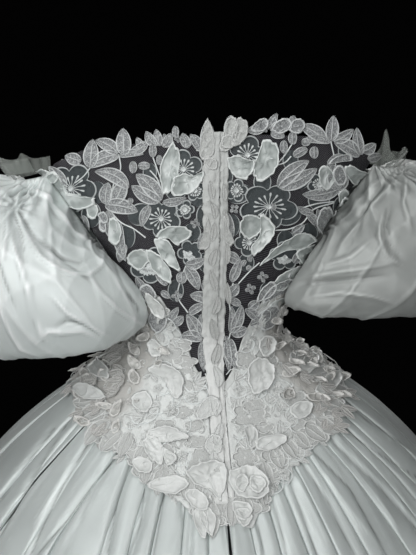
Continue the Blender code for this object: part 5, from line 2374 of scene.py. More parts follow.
@dataclass(frozen=True)
class BodiceLace:
    """The close lace over the bodice, with strewn leaves, standing petals and a leafy edge on the skirt."""

    spacing: float = 0.0200
    side_seam: float = 89.6
    scallop: float = 0.0060
    highest: float = 0.070
    centre_line: float = 220.0
    side_reach: float = 100.0
    side_lift: float = 0.0070
    rows: int = 42
    wall: float = 0.0009

    def ground(
        self, name: str, nodes: Sequence[str], first: float, last: float, low: np.ndarray, high: np.ndarray,
        lift: float,
    ) -> tuple[bpy.types.Object, np.ndarray]:
        """One ground of the lace, in relief.

        Args:
            name: the name of the piece.
            nodes: the solids that it stands for.
            first: its first angle.
            last: its last angle.
            low: the height of its lower edge at each column.
            high: the height of its upper edge at each column.
            lift: how far it stands off the figure.

        Returns:
            The piece and its grid.
        """
        share = np.linspace(0, 1, len(low))[None]
        angle = first + (last - first) * share
        height = low[None] + (high - low)[None] * np.linspace(0, 1, self.rows)[:, None]
        edges = {"left": (0.0, OVER_LAP[0] - 0.0016), "right": (UNDER_LAP[1] + 0.0016, 0.0)}
        side = "left" if first < 0 else "right"
        if first == 0 or last == 0:
            beside_lap = edges[side][1 if side == "left" else 0]
            below_laps = math.copysign(0.0008, beside_lap)
            apart = beside_lap * lap_taper(height) * 0.96 - below_laps
            past = FIGURE.beside(below_laps + apart * ease((height + 0.179) / 0.008), height)
            angle = angle + past * ((1 - share) if side == "right" else share)
        angle, height = np.broadcast_arrays(angle, height)
        metres = np.radians(angle) * FIGURE.radius(angle, height)
        relief = 0.0003 * Waves(31, 0.012, 0.012, 14).at(metres, height)
        relief = relief + 0.0006 * Waves(32, 0.03, 0.03).at(metres, height)
        points = FIGURE.on(angle, height, lift + relief)
        return make_sheet(name, points, self.wall, Cloth.CRUST, nodes, side_share(angle)), points

    def strewn(
        self, name: str, ground: bpy.types.Object, seed: int, motifs: bpy.types.Collection
    ) -> bpy.types.Object:
        """The small leaves, petals and blossoms over a ground.

        Args:
            name: the name of the piece.
            ground: the ground.
            seed: the seed of the draw.
            motifs: the loose motifs.

        Returns:
            The piece.
        """
        spacing = self.spacing * (1.25 if "front" in name else 1)
        piece = Strewing(spacing, seed, lean=0.15).strew(name, ground, motifs, WARDROBE.get(Cloth.WHITE_LEAF))
        return dress(piece)

    def embroidery(
        self, name: str, first: float, last: float, low: Callable, high: Callable, seed: int, lift: float,
        apart: float = 0.0175,
    ) -> bpy.types.Object:
        """Corded flowers, sprays, buds and loops all over a region, rising to tiers of tips at its sides.

        Args:
            name: the name of the piece.
            first: the region's first angle.
            last: its last angle.
            low: the height of its lower edge at an angle.
            high: the height of its upper edge at an angle.
            seed: the seed of the draw.
            lift: how far it stands off the figure.
            apart: the distance between its motifs.

        Returns:
            The embroidery as one piece.
        """
        weaving = Weaving()
        draw = np.random.default_rng(seed)
        for number, (angle, height) in enumerate(spots(first, last, low, high, apart, seed)):
            tier = float(side_share(np.array(angle)))
            outwards = math.copysign(120, angle) if angle < 180 else 120.0
            drawing = Drawing(LocalGround(angle, height, lift + 0.0004 * (number % 4)))
            turn = draw.uniform(0, 360) * (1 - tier) + (outwards + draw.uniform(-45, 45)) * tier
            size = draw.uniform(9.0, 13.0)
            kind = int(draw.integers(0, 6))
            if tier > 0.4 and kind < 3:
                drawing.patch(Patch(leaf_outline(turn, 1.5 * size), 0.0095, turn - 90, 0.0016), 0.0012, 4)
            elif tier > 0.4:
                drawing.spray((0, 2), turn, size * (1 + 0.45 * tier), 2 + kind % 2, 3, 0.0010 + 0.0050 * tier)
            elif kind in (0, 1):
                radius, squash, lobes = size * (1 + 0.35 * kind), 0.6 + 0.3 * kind, 4 + 2 * kind
                drawing.flower((0, 0), radius, turn, squash, lobes, 2, 0.0002, 50)
            elif kind in (2, 3):
                drawing.spray((0, 2), turn, size * 1.25, 3, 0, 0.0003)
                drawing.cord([(-10, 3), (-4, 9), (5, 8), (11, 0), (9, -8)], 0.9, 0.0008, 1, 0.0004)
            elif kind == 4:
                drawing.blossom((0, 0), size * 0.8, turn, 5)
                drawing.cord([(-7, 5), (-3, 8), (4, 7), (8, 1), (5, -5)], 0.9, 0.0008, 1, 0.0004)
            else:
                drawing.spray((0, 4), turn, size * 1.1, 2, 0, 0.0004)
                drawing.cord([(-8, -2), (-2, -7), (5, -5), (8, 3), (2, 8)], 0.9, 0.0008, 1, 0.0004)
            drawing.sew(weaving)
        cloths = (Cloth.WHITE_LEAF, Cloth.THREAD, Cloth.WHITE_ORGANZA, Cloth.SIDE_LEAF, Cloth.SIDE_PETAL)
        return dress(weaving.make(name, cloths))

    def standing(self, side: str) -> bpy.types.Object:
        """The petals and the leafy edge of one side of the back.

        Args:
            side: the side.

        Returns:
            The piece.
        """
        drawing = Drawing(SeenGround(LACE_LIFT + 0.0010))
        yoke = YokeLace(side)
        for number, leaf in enumerate(leaf for leaf in HEM_LEAVES if yoke.has(leaf.base)):
            middle = 0.55 * np.array(leaf.base) + 0.45 * np.array(leaf.tip)
            drawing.flower(middle, 13 + 2 * (number % 3), 40 * number, 0.8, 5, 2, 0.0006, 60)
            drawing.blade(leaf.base, leaf.tip, leaf.width * 1.35, leaf.bend, 0.0018, 2)
        for petal in BODICE_PETALS:
            if yoke.has(petal.outline[0]):
                far_out = abs(petal.outline[0][0] - self.centre_line) > self.side_reach
                drawing.patch(petal, self.side_lift if far_out else 0.0024)
        cloths = (Cloth.LINED_PETAL, Cloth.WHITE_LEAF, Cloth.WHITE_ORGANZA)
        return drawing.make(f"bodice_petals_{side}", cloths, "petal")

    def build(self, motifs: bpy.types.Collection, rosette: bpy.types.Object) -> None:
        """Makes the lace of the two backs and the band round the front.

        Args:
            motifs: the loose motifs.
            rosette: the flower sewn on at the waist.
        """
        halves = (("left", -self.side_seam, 0.0, 11), ("right", 0.0, self.side_seam, 12))
        for side, first, last, seed in halves:
            angle = np.linspace(first, last, 150)
            scallop = self.scallop * np.abs(np.sin(np.radians(angle) * 26))
            low = line_height(LACE_HEM, angle) + scallop + 0.007
            high = np.minimum(net_line(angle) - SEAM_GAP - 0.004, self.highest)
            name = f"lace_bodice_{side}"
            ground, points = self.ground(f"{name}_ground", [name], first, last, low, high, LACE_LIFT)
            sewn = [self.strewn(f"{name}_leaves", ground, seed, motifs), self.standing(side)]
            sewn.append(self.embroidery(
                f"{name}_embroidery", *((-87, -9) if side == "left" else (9, 87)),
                lambda angle: line_height(LACE_HEM, angle) + 0.012,
                lambda angle: np.minimum(net_line(angle) - 0.012, 0.066), seed, LACE_LIFT,
            ))
            if side == "right":
                sewn.append(rosette)
        angle = np.linspace(91, 269, 112)
        seam = waist_line(angle)
        scallop = np.abs(np.sin(np.radians(angle - 90) * 13))
        low, high = seam - 0.032 - 0.012 * scallop, seam + 0.026 + 0.012 * scallop
        name = "lace_waist_front"
        ground, points = self.ground(f"{name}_ground", [name], 91, 269, low, high, WAIST_LACE_LIFT)
        sewn = [
            self.strewn(f"{name}_leaves", ground, 13, motifs),
            self.embroidery(
                f"{name}_embroidery", 93, 267, lambda angle: waist_line(angle) - 0.030,
                lambda angle: waist_line(angle) + 0.030, 14, WAIST_LACE_LIFT, 0.024,
            ),
        ]


# ------------------------------------------------------------------------------
# The skirt


class Pleat(NamedTuple):
    """A fold of the skirt on the chart: its line, its depth in metres, half its width and its slope."""

    path: tuple[Place, ...]
    depth: float = 0.0045
    width: float = 2.2
    slope: float = 0.5


SKIRT_PLEATS = (
    Pleat(((56, 424), (40, 445), (24, 465), (0, 500), (-30, 548)), 0.0040, 2.2, 0.8),
    Pleat(((76, 408), (60, 432), (45, 455), (20, 500), (0, 535), (-12, 560)), 0.0045, 2.2, -0.8),
    Pleat(((98, 420), (84, 448), (62, 485), (45, 520), (28, 556), (20, 580)), 0.0040, 2.4, 0.7),
    Pleat(((124, 446), (110, 464), (90, 487), (66, 520), (38, 552), (20, 576)), 0.0060, 2.2, -0.6),
    Pleat(((132, 452), (124, 478), (116, 502), (106, 556), (104, 580)), 0.0045, 2.0, 0.8),
    Pleat(((140, 458), (143, 492), (140, 524), (128, 556), (120, 576)), 0.0040, 5.0, -0.8),
    Pleat(((168, 470), (163, 500), (158, 530), (153, 558), (150, 580)), 0.0050, 2.0, 0.7),
    Pleat(((182, 480), (181, 502), (183, 532)), 0.0035, 2.0, 0.5),
    Pleat(((198, 486), (193, 510), (190, 556), (190, 580)), 0.0060, 2.2, -0.5),
    Pleat(((104, 486), (84, 516), (60, 548)), -0.0022, 4.5, 0.0),
    Pleat(((146, 502), (135, 530), (132, 560)), -0.0020, 5.0, 0.0),
    Pleat(((36, 470), (14, 506), (-8, 545)), -0.0020, 4.0, 0.0),
    Pleat(((76, 462), (50, 500), (30, 532)), -0.0018, 4.0, 0.0),
    Pleat(((246, 494), (254, 516), (262, 540), (268, 580)), 0.0060, 2.0, 0.5),
    Pleat(((262, 472), (270, 490), (280, 522), (288, 556), (292, 580)), 0.0040, 4.2, -0.8),
    Pleat(((276, 452), (288, 474), (303, 514), (318, 556), (324, 580)), 0.0045, 2.2, 0.6),
    Pleat(((290, 440), (304, 464), (330, 504), (356, 556), (366, 580)), 0.0050, 3.0, -0.8),
    Pleat(((302, 430), (316, 454), (352, 490), (388, 555), (400, 580)), 0.0042, 2.2, 0.7),
    Pleat(((322, 420), (338, 446), (380, 486), (416, 526), (440, 560)), 0.0055, 2.2, -0.7),
    Pleat(((334, 408), (348, 432), (383, 456), (418, 478), (450, 504)), 0.0036, 4.5, 0.6),
    Pleat(((344, 396), (362, 416), (392, 436), (430, 462)), 0.0036, 2.4, 0.6),
    Pleat(((296, 476), (314, 512), (336, 556)), -0.0022, 5.0, 0.0),
    Pleat(((322, 470), (348, 508), (372, 540)), -0.0020, 5.0, 0.0),
    Pleat(((350, 462), (378, 500), (404, 536)), -0.0022, 5.0, 0.0),
)


def all_folds() -> list[Fold]:
    """The valleys of the skirt all round: those of the back, and uneven ones like them round the front.

    Returns:
        The valleys, from the left of the back all the way round.
    """
    folds = list(BACK_FOLDS)
    angle, count = 80.0, 0
    while angle < 282:
        folds.append(Fold(angle, angle, 0.85 + 0.15 * math.sin(2.1 * count)))
        angle += 8.1 + 1.3 * math.sin(1.7 * count)
        count += 1
    return folds + [Fold(fold.at_waist + 360, fold.at_hem + 360, fold.depth) for fold in BACK_FOLDS]


@dataclass(frozen=True)
class SkirtWidth:
    """One width of pleated taffeta between two seams, from the waist to the hem."""

    name: str
    first: float
    last: float
    step: float
    rows: int = 84
    wall: float = 0.0011
    depth_at_top: float = 0.006
    flat_from: float = 38.0
    flat_to: float = 150.0
    full_from: float = 78.0
    full_to: float = 102.0
    crush: Crush = Crush(65, 0.030, 0.20, 0.10)
    fine_crush: Crush = Crush(66, 0.018, 0.11, -0.12)

    def grid(self) -> tuple[np.ndarray, np.ndarray]:
        """The points of its outer face, and their marks, which paint highlight and shade on its folds.

        Returns:
            The grid and the marks.
        """
        # the columns, closer together beside the valleys
        inside = sorted(fold for fold in all_folds() if self.first + 2 < fold.at_waist < self.last - 2)
        valleys = np.array([Fold(self.first, self.first, 0.4), *inside, Fold(self.last, self.last, 0.4)])
        columns = [self.first]
        for start, end in zip(valleys[:, 0], valleys[1:, 0]):
            even = np.linspace(0, 1, max(int((end - start) / self.step), 10) + 1)[1:]
            columns.extend(start + (end - start) * (0.2 * even + 0.8 * ease(even)))
        at_waist = np.array(columns)[None]
        index = np.clip(np.searchsorted(valleys[:, 0], at_waist, "right") - 1, 0, len(valleys) - 2)
        start, end = valleys[index], valleys[index + 1]
        gap = end[..., 0] - start[..., 0]
        share = (at_waist - start[..., 0]) / gap
        draw = np.random.default_rng(int(self.first) + 400)
        ranges = ((0.8, 1.3), (8.0, 16.0), (-0.7, 0.7), (0.32, 0.68), (0.05, 0.22), (-1.0, 1.0))
        lots = (draw.uniform(low, high, len(valleys)) for low, high in ranges)
        bias, fullness, tilt, second, dip, step_up = lots
        # each pleat has its own lean, fullness and step
        skewed = share ** bias[index]
        depth = start[..., 2] + (end[..., 2] - start[..., 2]) * share
        ridge = 1 - np.abs(2 * skewed - 1) ** fullness[index]

        # the rows, closer together under the waist seam
        row = np.linspace(1, 0, self.rows)[:, None]
        level = 0.26 * row + 0.74 * row**4
        seam = waist_line(at_waist) - SEAM_GAP
        height = seam + (HEM_HEIGHT - seam) * level
        lean = ease((seam - height) / 0.12)
        at_hem = start[..., 1] + (end[..., 1] - start[..., 1]) * share
        angle = at_waist + (at_hem - at_waist) * lean
        angle = angle - 0.12 * gap * np.sin(math.tau * share) * ease((seam - height) / 0.04)
        # the pleats, shallower past the middle of the back and fullest beside the side seams
        deep = self.depth_at_top + (FOLD_DEPTH_AT_HEM - self.depth_at_top) * level**0.7
        near = near_side(at_waist)
        deep = deep * (1 - 0.45 * ease((near - self.flat_from) / 18) * ease((self.flat_to - near) / 30))
        open_up = 1 + 0.35 * Waves(60, 40.0, 0.30).at(at_waist, height)
        drawn = 1 - 0.65 * (ease((self.full_from - near) / 12) + ease((near - self.full_to) / 12))
        out = -0.45 * depth * (1 - ridge) * deep * open_up * drawn
        out = out + tilt[index] * np.sin(math.pi * share) * (2 * share - 1) * deep * 0.8
        out = out + 0.5 * deep * np.sin(math.pi * skewed)
        out = out + step_up[index] * (share - 0.5) * (0.002 + 0.22 * deep) * drawn
        inner = (share + 0.10 * np.sin(height * 14 + 9 * second[index]) - second[index]) / 0.055
        out = out - dip[index] * deep * np.exp(-(inner**2)) * ease((seam - height) / 0.10)

        radius = FIGURE.radius(angle, height)
        metres = np.radians(at_waist - (self.first + self.last) / 2) * np.maximum(radius, 0.12)
        from_valley = np.minimum(share, 1 - share) * np.radians(gap) * radius
        valley = np.exp(-((from_valley / 0.0024) ** 2))
        out = out - (0.0040 + 0.0050 * depth) * valley * ease((seam - height) / 0.03) * drawn
        # the creases of the cloth, the gathers under the seam and the turned hem
        drop = seam - height
        swell = Waves(61, 0.16, 0.42).at(metres, height)
        crumple = Waves(62, 0.026, 0.11, 14).at(metres, height)
        crisp = (1 - np.abs(Waves(63, 0.06, 0.16, 12).at(metres, height))).clip(0) ** 7
        sharp = (1 - np.abs(Waves(64, 0.035, 0.05, 12).at(metres, height))).clip(0) ** 9
        gathers = np.sin(at_waist * math.tau / 1.7 + 1.4 * np.sin(at_waist)) * np.exp(-drop / 0.030)
        settle = ease(drop / 0.03)
        facets = self.crush.at(metres, height) + 0.5 * self.fine_crush.at(metres, height)
        creases = 0.0045 * swell * level**0.5 + 0.0003 * crumple + 0.0004 * crisp + 0.0002 * sharp
        out = out + settle * creases
        out = out + ease(drop / 0.06) * 0.0009 * facets * (0.5 + 0.5 * ridge)
        out = out + 0.0011 * gathers + 0.0004 * np.exp(-(((height - HEM_HEIGHT - 0.035) / 0.003) ** 2))
        # the gaps at the seams, and the listed folds
        angle = angle + self.seam_gap(self.first, height, radius) * np.exp(-(at_waist - self.first) / 2)
        angle = angle - self.seam_gap(self.last, height, radius) * np.exp(-(self.last - at_waist) / 2)
        points = FIGURE.point(angle, height, out)
        moved, marks = self.pleats(points)
        # painted shade along the valleys, painted highlight on the crushed ridges, and painted highlight and
        # shade on the gathers
        marks = marks - 0.8 * np.exp(-((from_valley / 0.0020) ** 2)) * ease((seam - height) / 0.03) * drawn
        marks = marks + 0.35 * self.crush.ridges(metres, height) * settle + 0.25 * gathers
        return FIGURE.point(angle, height, out + moved * ease(drop / 0.02)), marks

    @staticmethod
    def pleats(points: np.ndarray) -> tuple[np.ndarray, np.ndarray]:
        """How far the uneven folds move each point, in front as at the back, and the marks that paint a
        highlight along their crests and shade along their valleys.

        Args:
            points: the points.

        Returns:
            The distances and the marks.
        """
        behind = points * np.where(points[..., 1:2] > 0, (1, -1, 1), (1, 1, 1))
        sideways = np.degrees(np.arctan2(np.abs(behind[..., 0]), -behind[..., 1]))
        places = CHART.project(behind)
        total, marks = np.zeros(points.shape[:2]), np.zeros(points.shape[:2])
        for pleat in SKIRT_PLEATS:
            signed, share = beside_path(places, pleat.path)
            reach = signed / pleat.width
            fade = ease(share / 0.08) * ease((1 - share) / 0.25)
            side = pleat.slope * reach / 2.5 * np.exp(-((reach / 2.5) ** 2))
            total += pleat.depth * fade * (side - np.exp(-(np.abs(reach) ** 1.4)))
            # painted highlight beside each fold's line and painted shade along its valley, or a highlight
            # along a raised fold
            crest = math.copysign(1.0, pleat.slope) * signed - 2.6
            line = math.copysign(0.8, pleat.depth) * np.exp(-(signed**2))
            marks += fade * (0.55 * np.exp(-((crest / 1.1) ** 2)) - line)
        near_back = ease((84 - sideways) / 14)
        return total * near_back, marks * near_back

    def seam_gap(self, edge: float, height: np.ndarray, radius: np.ndarray) -> np.ndarray:
        """Half of the gap at a seam in degrees, wider at the slit of the centre back."""
        slit = (SLIT_HALF_WIDTH - SEAM_GAP) * ease(1 - np.abs(height - SLIT_MIDDLE) / SLIT_REACH)
        return np.degrees((SEAM_GAP + (slit if edge == 0 else 0)) / radius)

    def build(self) -> None:
        """Makes the width."""
        points, marks = self.grid()
        name, cloth = f"{self.name}_taffeta", Cloth.SHADED_SKIRT_TAFFETA
        piece = make_sheet(name, points, self.wall, cloth, [self.name], marks)


@dataclass(frozen=True)
class Skirt:
    """The five widths of the skirt."""

    def build(self) -> None:
        """Makes them, the two at the back the finest."""
        spans = (
            ("skirt_back_left", -62.0, 0.0, 0.28),
            ("skirt_back_right", 0.0, 58.5, 0.28),
            ("skirt_side_right", 58.5, 123.0, 0.80),
            ("skirt_front", 123.0, 237.0, 1.0),
            ("skirt_side_left", 237.0, 298.0, 0.80),
        )
        for span in spans:
            SkirtWidth(*span).build()


# ------------------------------------------------------------------------------
# The sleeves


class Crease(NamedTuple):
    """A fold of a sleeve on the chart: its line, its height in metres, its half width and its steepness."""

    path: tuple[Place, ...]
    height: float
    width: float
    steep: float = 0.0


class FrillTip(NamedTuple):
    """A higher tip of a frill: where it is as a share of the frill, its width and its rise."""

    at: float
    width: float
    rise: float


@dataclass(frozen=True)
class Arm:
    """What differs between the two sleeves."""

    side: str
    sign: int
    rings: tuple[SleeveRow, ...]
    band_height: float
    frill_height: float
    creases: tuple[Crease, ...]
    knots: tuple[Place, ...]
    cloth: Cloth
    frill_edge: float
    frill_tips: tuple[FrillTip, ...]
    band_middle: float = 0.240
    band_radius: float = 0.060

    def head(self, turn: float) -> np.ndarray:
        """A point on the upper edge of the sleeve, on the right side of the body.

        Args:
            turn: 0 at the outermost point, 90 at the back corner of the notch and 180 under the arm.

        Returns:
            The point.
        """
        if 90 <= turn <= 270:
            angle = HEAD_CORNER + (turn - 90) / 180 * (180 - 2 * HEAD_CORNER)
            return FIGURE.point(angle, float(top_height(self.sign * angle)) - 0.002, 0.0060)
        back = math.sin(math.radians(turn)) > 0
        corner = self.head(90 if back else 270)
        outwards = math.cos(math.radians(turn))
        return np.array((
            corner[0] + (0.286 - corner[0]) * outwards,
            corner[1] * abs(math.sin(math.radians(turn))),
            corner[2] - 0.012 * outwards,
        ))

    def ring(self, ring: SleeveRow, turns: np.ndarray) -> np.ndarray:
        """The points of one ring, pushed out where they would enter the bodice.

        Args:
            ring: the ring.
            turns: the turns of its points in degrees.

        Returns:
            The points.
        """
        outwards, backwards = np.cos(np.radians(turns)), np.sin(np.radians(turns))
        across = np.sign(outwards) * np.abs(outwards) ** 0.8
        along = np.sign(backwards) * np.abs(backwards) ** 0.8
        middle, half = ring.outer_height + ring.inner_height, ring.outer_height - ring.inner_height
        height = middle / 2 + half / 2 * across
        x = (ring.outer + ring.inner) / 2 + (ring.outer - ring.inner) / 2 * across
        y = -np.where(backwards > 0, ring.back, ring.front) * along
        distance = np.hypot(x, y)
        least = FIGURE.radius(np.degrees(np.arctan2(x, -y)), height) + SLEEVE_CLEARANCE
        push = np.maximum(least / distance, 1.0)
        return np.stack([x * push, y * push, height], axis=-1)

    def rows(self, turns: np.ndarray) -> np.ndarray:
        """The rings from the band up to the head, on the arm's own side.

        Args:
            turns: the turns of the columns in degrees.

        Returns:
            The grid.
        """
        reach = self.band_radius + 0.003
        low = self.band_height - 0.002
        gathered = SleeveRow(self.band_middle + reach, low, self.band_middle - reach, low, reach, reach)
        head = np.array([self.head(turn % 360) for turn in turns])
        rings = [self.ring(ring, turns) for ring in (gathered, *self.rings[::-1])]
        return np.stack([*rings, head]) * (self.sign, 1, 1)


LEFT_CREASES = (
    Crease(((17, 207), (20, 219), (29, 238), (40, 255), (54, 266), (70, 273), (89, 274), (100, 266),
            (102, 254), (97, 247)), 0.0038, 3.4, 0.2),
    Crease(((18, 205), (25, 220), (34, 233), (46, 244), (62, 256), (80, 262), (92, 258)), -0.0042, 4.5, 0.2),
    Crease(((27, 186), (36, 189), (49, 198), (64, 219), (80, 238), (92, 253)), 0.0040, 4.0, -0.2),
    Crease(((11, 226), (12, 240), (20, 264), (29, 294), (34, 316), (42, 334), (52, 345)), 0.0036, 3.6, 0.2),
    Crease(((-6, 280), (0, 308), (10, 332), (21, 350), (37, 356)), 0.0034, 3.6, 0.2),
    Crease(((89, 273), (102, 292), (118, 308), (136, 321), (146, 326)), 0.0032, 4.2, 0.2),
    Crease(((51, 294), (68, 313), (89, 326), (112, 337)), 0.0034, 3.6, 0.2),
    Crease(((56, 327), (67, 321), (83, 324), (96, 332), (104, 342)), -0.0040, 3.6, 0.3),
    Crease(((35, 344), (48, 332), (62, 333), (82, 331), (98, 338)), 0.0030, 3.2, 0.2),
    Crease(((15, 214), (22, 236), (26, 262)), -0.0030, 3.6, 0.2),
    Crease(((9, 206), (8, 232), (2, 262)), 0.0030, 3.2, 0.2),
    Crease(((110, 250), (122, 282), (139, 309)), -0.0026, 4.4, 0.2),
    Crease(((36, 228), (66, 262), (92, 282)), -0.0014, 5.5),
    Crease(((128, 292), (138, 305), (141, 320)), -0.0022, 4.0, 0.3),
    Crease(((-4, 246), (4, 280), (16, 312)), -0.0026, 4.4, 0.2),
)
RIGHT_CREASES = (
    Crease(((405, 171), (384, 192), (362, 218), (345, 240), (334, 256)), 0.0036, 3.6, -0.2),
    Crease(((396, 171), (378, 192), (364, 212), (358, 230)), -0.0045, 4.4, 0.3),
    Crease(((384, 176), (362, 196), (344, 222), (330, 244)), 0.0032, 3.6, -0.2),
    Crease(((391, 205), (386, 226), (390, 244), (402, 256)), -0.0042, 4.2, 0.2),
    Crease(((384, 210), (379, 236), (388, 256), (406, 268)), 0.0034, 3.6, 0.2),
    Crease(((300, 286), (322, 281), (348, 279), (390, 275)), -0.0034, 4.6, 0.3),
    Crease(((304, 278), (330, 272), (360, 268), (396, 262)), 0.0032, 4.0, 0.2),
    Crease(((352, 188), (338, 216), (322, 246), (308, 268)), -0.0028, 4.2, 0.2),
    Crease(((407, 176), (404, 204), (412, 232)), 0.0032, 3.6, 0.2),
    Crease(((310, 296), (340, 292), (372, 296), (400, 306)), 0.0028, 3.6, 0.2),
    Crease(((372, 240), (350, 258), (322, 266)), 0.0026, 4.2, 0.2),
    Crease(((346, 208), (334, 232), (322, 250)), 0.0018, 4.0),
)
ARMS = (
    Arm(
        "left", -1, LEFT_SLEEVE, 0.026, 0.032, LEFT_CREASES, ((27, 184), (16, 206)), Cloth.TAFFETA, 0.62,
        (FrillTip(0.76, 0.07, 0.45), FrillTip(0.45, 0.14, 0.22)),
    ),
    Arm(
        "right", 1, RIGHT_SLEEVE, 0.066, 0.040, RIGHT_CREASES, ((400, 166),), Cloth.SHADED_TAFFETA, 0.36,
        (FrillTip(0.71, 0.045, 1.1), FrillTip(0.32, 0.10, 0.25)),
    ),
)


@dataclass(frozen=True)
class Sleeve:
    """A balloon puff of taffeta with its band and the frill behind its head."""

    arm: Arm
    columns: int = 216
    rows: int = 104
    wall: float = 0.0011
    band_wall: float = 0.0018
    crush: Crush = Crush(81, 0.070, 0.210, 0.35, 0.5)
    fine_crush: Crush = Crush(84, 0.034, 0.10, -0.4, 0.4)

    def grid(self) -> tuple[np.ndarray, np.ndarray]:
        """The points of the puff with its folds and gathers, closer together at the back, and their marks,
        which paint highlight and shade on its folds.

        Returns:
            The grid and the marks.
        """
        # the columns, closer together at the back
        even = np.arange(self.columns) * 360 / self.columns - 90
        turns = even + math.degrees(0.42) * np.cos(np.radians(even))
        if self.arm.sign > 0:
            turns = turns[::-1]
        rings = self.arm.rows(turns)
        steps = np.linalg.norm(np.diff(rings, axis=0), axis=2).mean(axis=1)
        stations = np.concatenate([[0.0], np.cumsum(steps)])
        share = np.linspace(0, 1, self.rows)
        points = blend(stations, rings, stations[-1] * (share - 0.04 * np.sin(math.tau * share)))
        folded, marks = (
            part * (ease(share / 0.08) * ease((1 - share) / 0.06))[:, None] for part in self.folds(points)
        )
        # the gathers at the head and at the band, and the creases of the cloth
        turn = np.radians(turns)[None]
        down, up = stations[-1] * share[:, None], stations[-1] * (1 - share[:, None])
        uneven = Waves(71 + self.arm.sign, 0.5, 0.2).at(turn, down)
        at_head = np.sin(34 * turn + 2.4 * np.sin(5 * turn) + uneven)
        at_band = np.sin(38 * turn + 2.0 * np.sin(4 * turn + 1))
        gathers = at_head * 0.0034 * np.exp(-((up / 0.050) ** 1.5))
        gathers = gathers + at_band * 0.0030 * np.exp(-((down / 0.040) ** 1.5))
        calm = ease(share / 0.05)[:, None] * ease((1 - share) / 0.035)[:, None]
        metres = turn * 0.13
        facets = self.crush.at(metres, down) + 0.3 * self.fine_crush.at(metres, down)
        ridges = 0.30 * self.crush.ridges(metres, down) + 0.22 * self.fine_crush.ridges(metres, down)
        # painted highlight where the crushed bowls meet
        marks = marks + calm * ridges
        crumple = Waves(82, 0.03, 0.05, 12).at(metres, down)
        swell = Waves(83, 0.12, 0.14).at(metres, down)
        small = calm * (0.0028 * facets + 0.0002 * crumple + 0.0014 * swell)
        points = points + grid_normals(points, True) * (folded + gathers * calm + small)[..., None]
        # the gathers paint a highlight on their crests and shade in their troughs
        return points, marks + 200 * gathers * calm

    def folds(self, points: np.ndarray) -> tuple[np.ndarray, np.ndarray]:
        """How far the folds move each point, in front as at the back, and the marks that paint a highlight
        along their crests and shade along their valleys.

        Args:
            points: the points.

        Returns:
            The distances and the marks.
        """
        behind = points * np.where(points[..., 1:2] > 0, (1, -1.12, 1), (1, 1, 1))
        places = CHART.project(behind)
        total, marks = np.zeros(points.shape[:2]), np.zeros(points.shape[:2])
        for crease in self.arm.creases:
            signed, share = beside_path(places, crease.path)
            reach = signed / (0.6 * crease.width)
            fade = np.sin(math.pi * np.clip(share, 0.02, 0.98)) ** 0.5
            slope = 1 + 2.2 * crease.steep * reach
            total += 0.95 * crease.height * fade * slope * np.exp(-(np.abs(reach) ** 1.25))
            # painted highlight along a crest and painted shade along a valley, with the opposite beside it
            marks += math.copysign(0.8, crease.height) * fade * np.exp(-((1.5 * reach) ** 2))
            marks -= math.copysign(0.45, crease.height) * fade * np.exp(-((1.5 * (reach - 1.6)) ** 2))
        for knot in self.arm.knots:
            offset = places - np.array(knot)
            distance = np.hypot(offset[..., 0], offset[..., 1])
            angle = np.arctan2(offset[..., 1], offset[..., 0])
            spokes = 1 - 2 * np.abs(np.sin(4.5 * angle + 0.75 * np.sin(2 * angle))) ** 0.6
            rays = spokes * np.clip(distance / 6, 0, 1)
            total += (0.0048 * rays - 0.0050 * np.exp(-distance / 4)) * np.exp(-distance / 17)
            # painted highlight on the spokes round a knot and painted shade between them
            marks += 0.8 * rays * np.exp(-distance / 14)
        return total, marks

    def build(self) -> None:
        """Makes the puff, the band and the frill."""
        node = f"sleeve_{self.arm.side}"
        band = self.band()
        points, marks = self.grid()
        puff = make_sheet(
            f"{node}_puff", points, self.wall, self.arm.cloth, [node], marks, closed=True
        )
        self.frill()

    def band(self) -> bpy.types.Object:
        """Makes the narrow band round the arm.

        Returns:
            The band.
        """
        arm = self.arm
        turn = np.arange(72) * math.tau / 72
        rise = np.linspace(0, 1, 9)[:, None]
        radius = arm.band_radius + 0.0003 * np.sin(18 * turn) * np.sin(math.pi * rise)
        radius = radius - 0.0003 * np.abs(2 * rise - 1) ** 8
        height = arm.band_height + BAND_HEIGHT * rise + 0 * turn
        points = np.stack(
            [arm.sign * arm.band_middle + radius * np.sin(turn), -radius * np.cos(turn), height], axis=-1
        )
        node = f"sleeve_band_{arm.side}"
        piece = make_sheet(f"{node}_satin", points, self.band_wall, Cloth.SATIN, [node], closed=True)
        return piece

    def frill(self) -> None:
        """Makes the pleated frill behind the sleeve head."""
        arm = self.arm
        share = np.linspace(0, 1, 170)
        turns = 74 - 154 * share
        base = np.array([arm.head(turn % 360) for turn in turns])[None]
        turn = np.radians(turns)
        away = np.stack([np.cos(turn), -np.sin(turn), np.zeros_like(turn)], axis=-1)[None]
        wave = np.cos(math.tau * 2 * share)
        pleats = np.cos(math.tau * 13 * share + 1.6 * np.sin(math.tau * 3 * share))
        up = np.linspace(0, 1, 13)[:, None]
        tips = sum(tip.rise * np.exp(-np.abs((share - tip.at) / tip.width) ** 1.4) for tip in arm.frill_tips)
        flare = 0.005 + 0.013 * up + 0.005 * up * wave + 0.0013 * pleats * (0.4 + 0.6 * up)
        rise = 0.009 + arm.frill_height * up * (arm.frill_edge + tips * up)
        points = base + away * flare[..., None] + np.array((0.0, 0.0, 1.0)) * rise[..., None]
        points = points * (arm.sign, 1, 1)
        if arm.sign < 0:
            points = points[:, ::-1]
        node = f"sleeve_frill_{arm.side}"
        piece = make_sheet(f"{node}_taffeta", points, self.wall, Cloth.SHADED_SHEER, [node])


# ------------------------------------------------------------------------------
# The studio


class Lamp(NamedTuple):
    """A soft light: where it stands round the gown, its height angle, distance, size and power."""

    name: str
    azimuth: float
    elevation: float
    distance: float
    size: float
    power: float


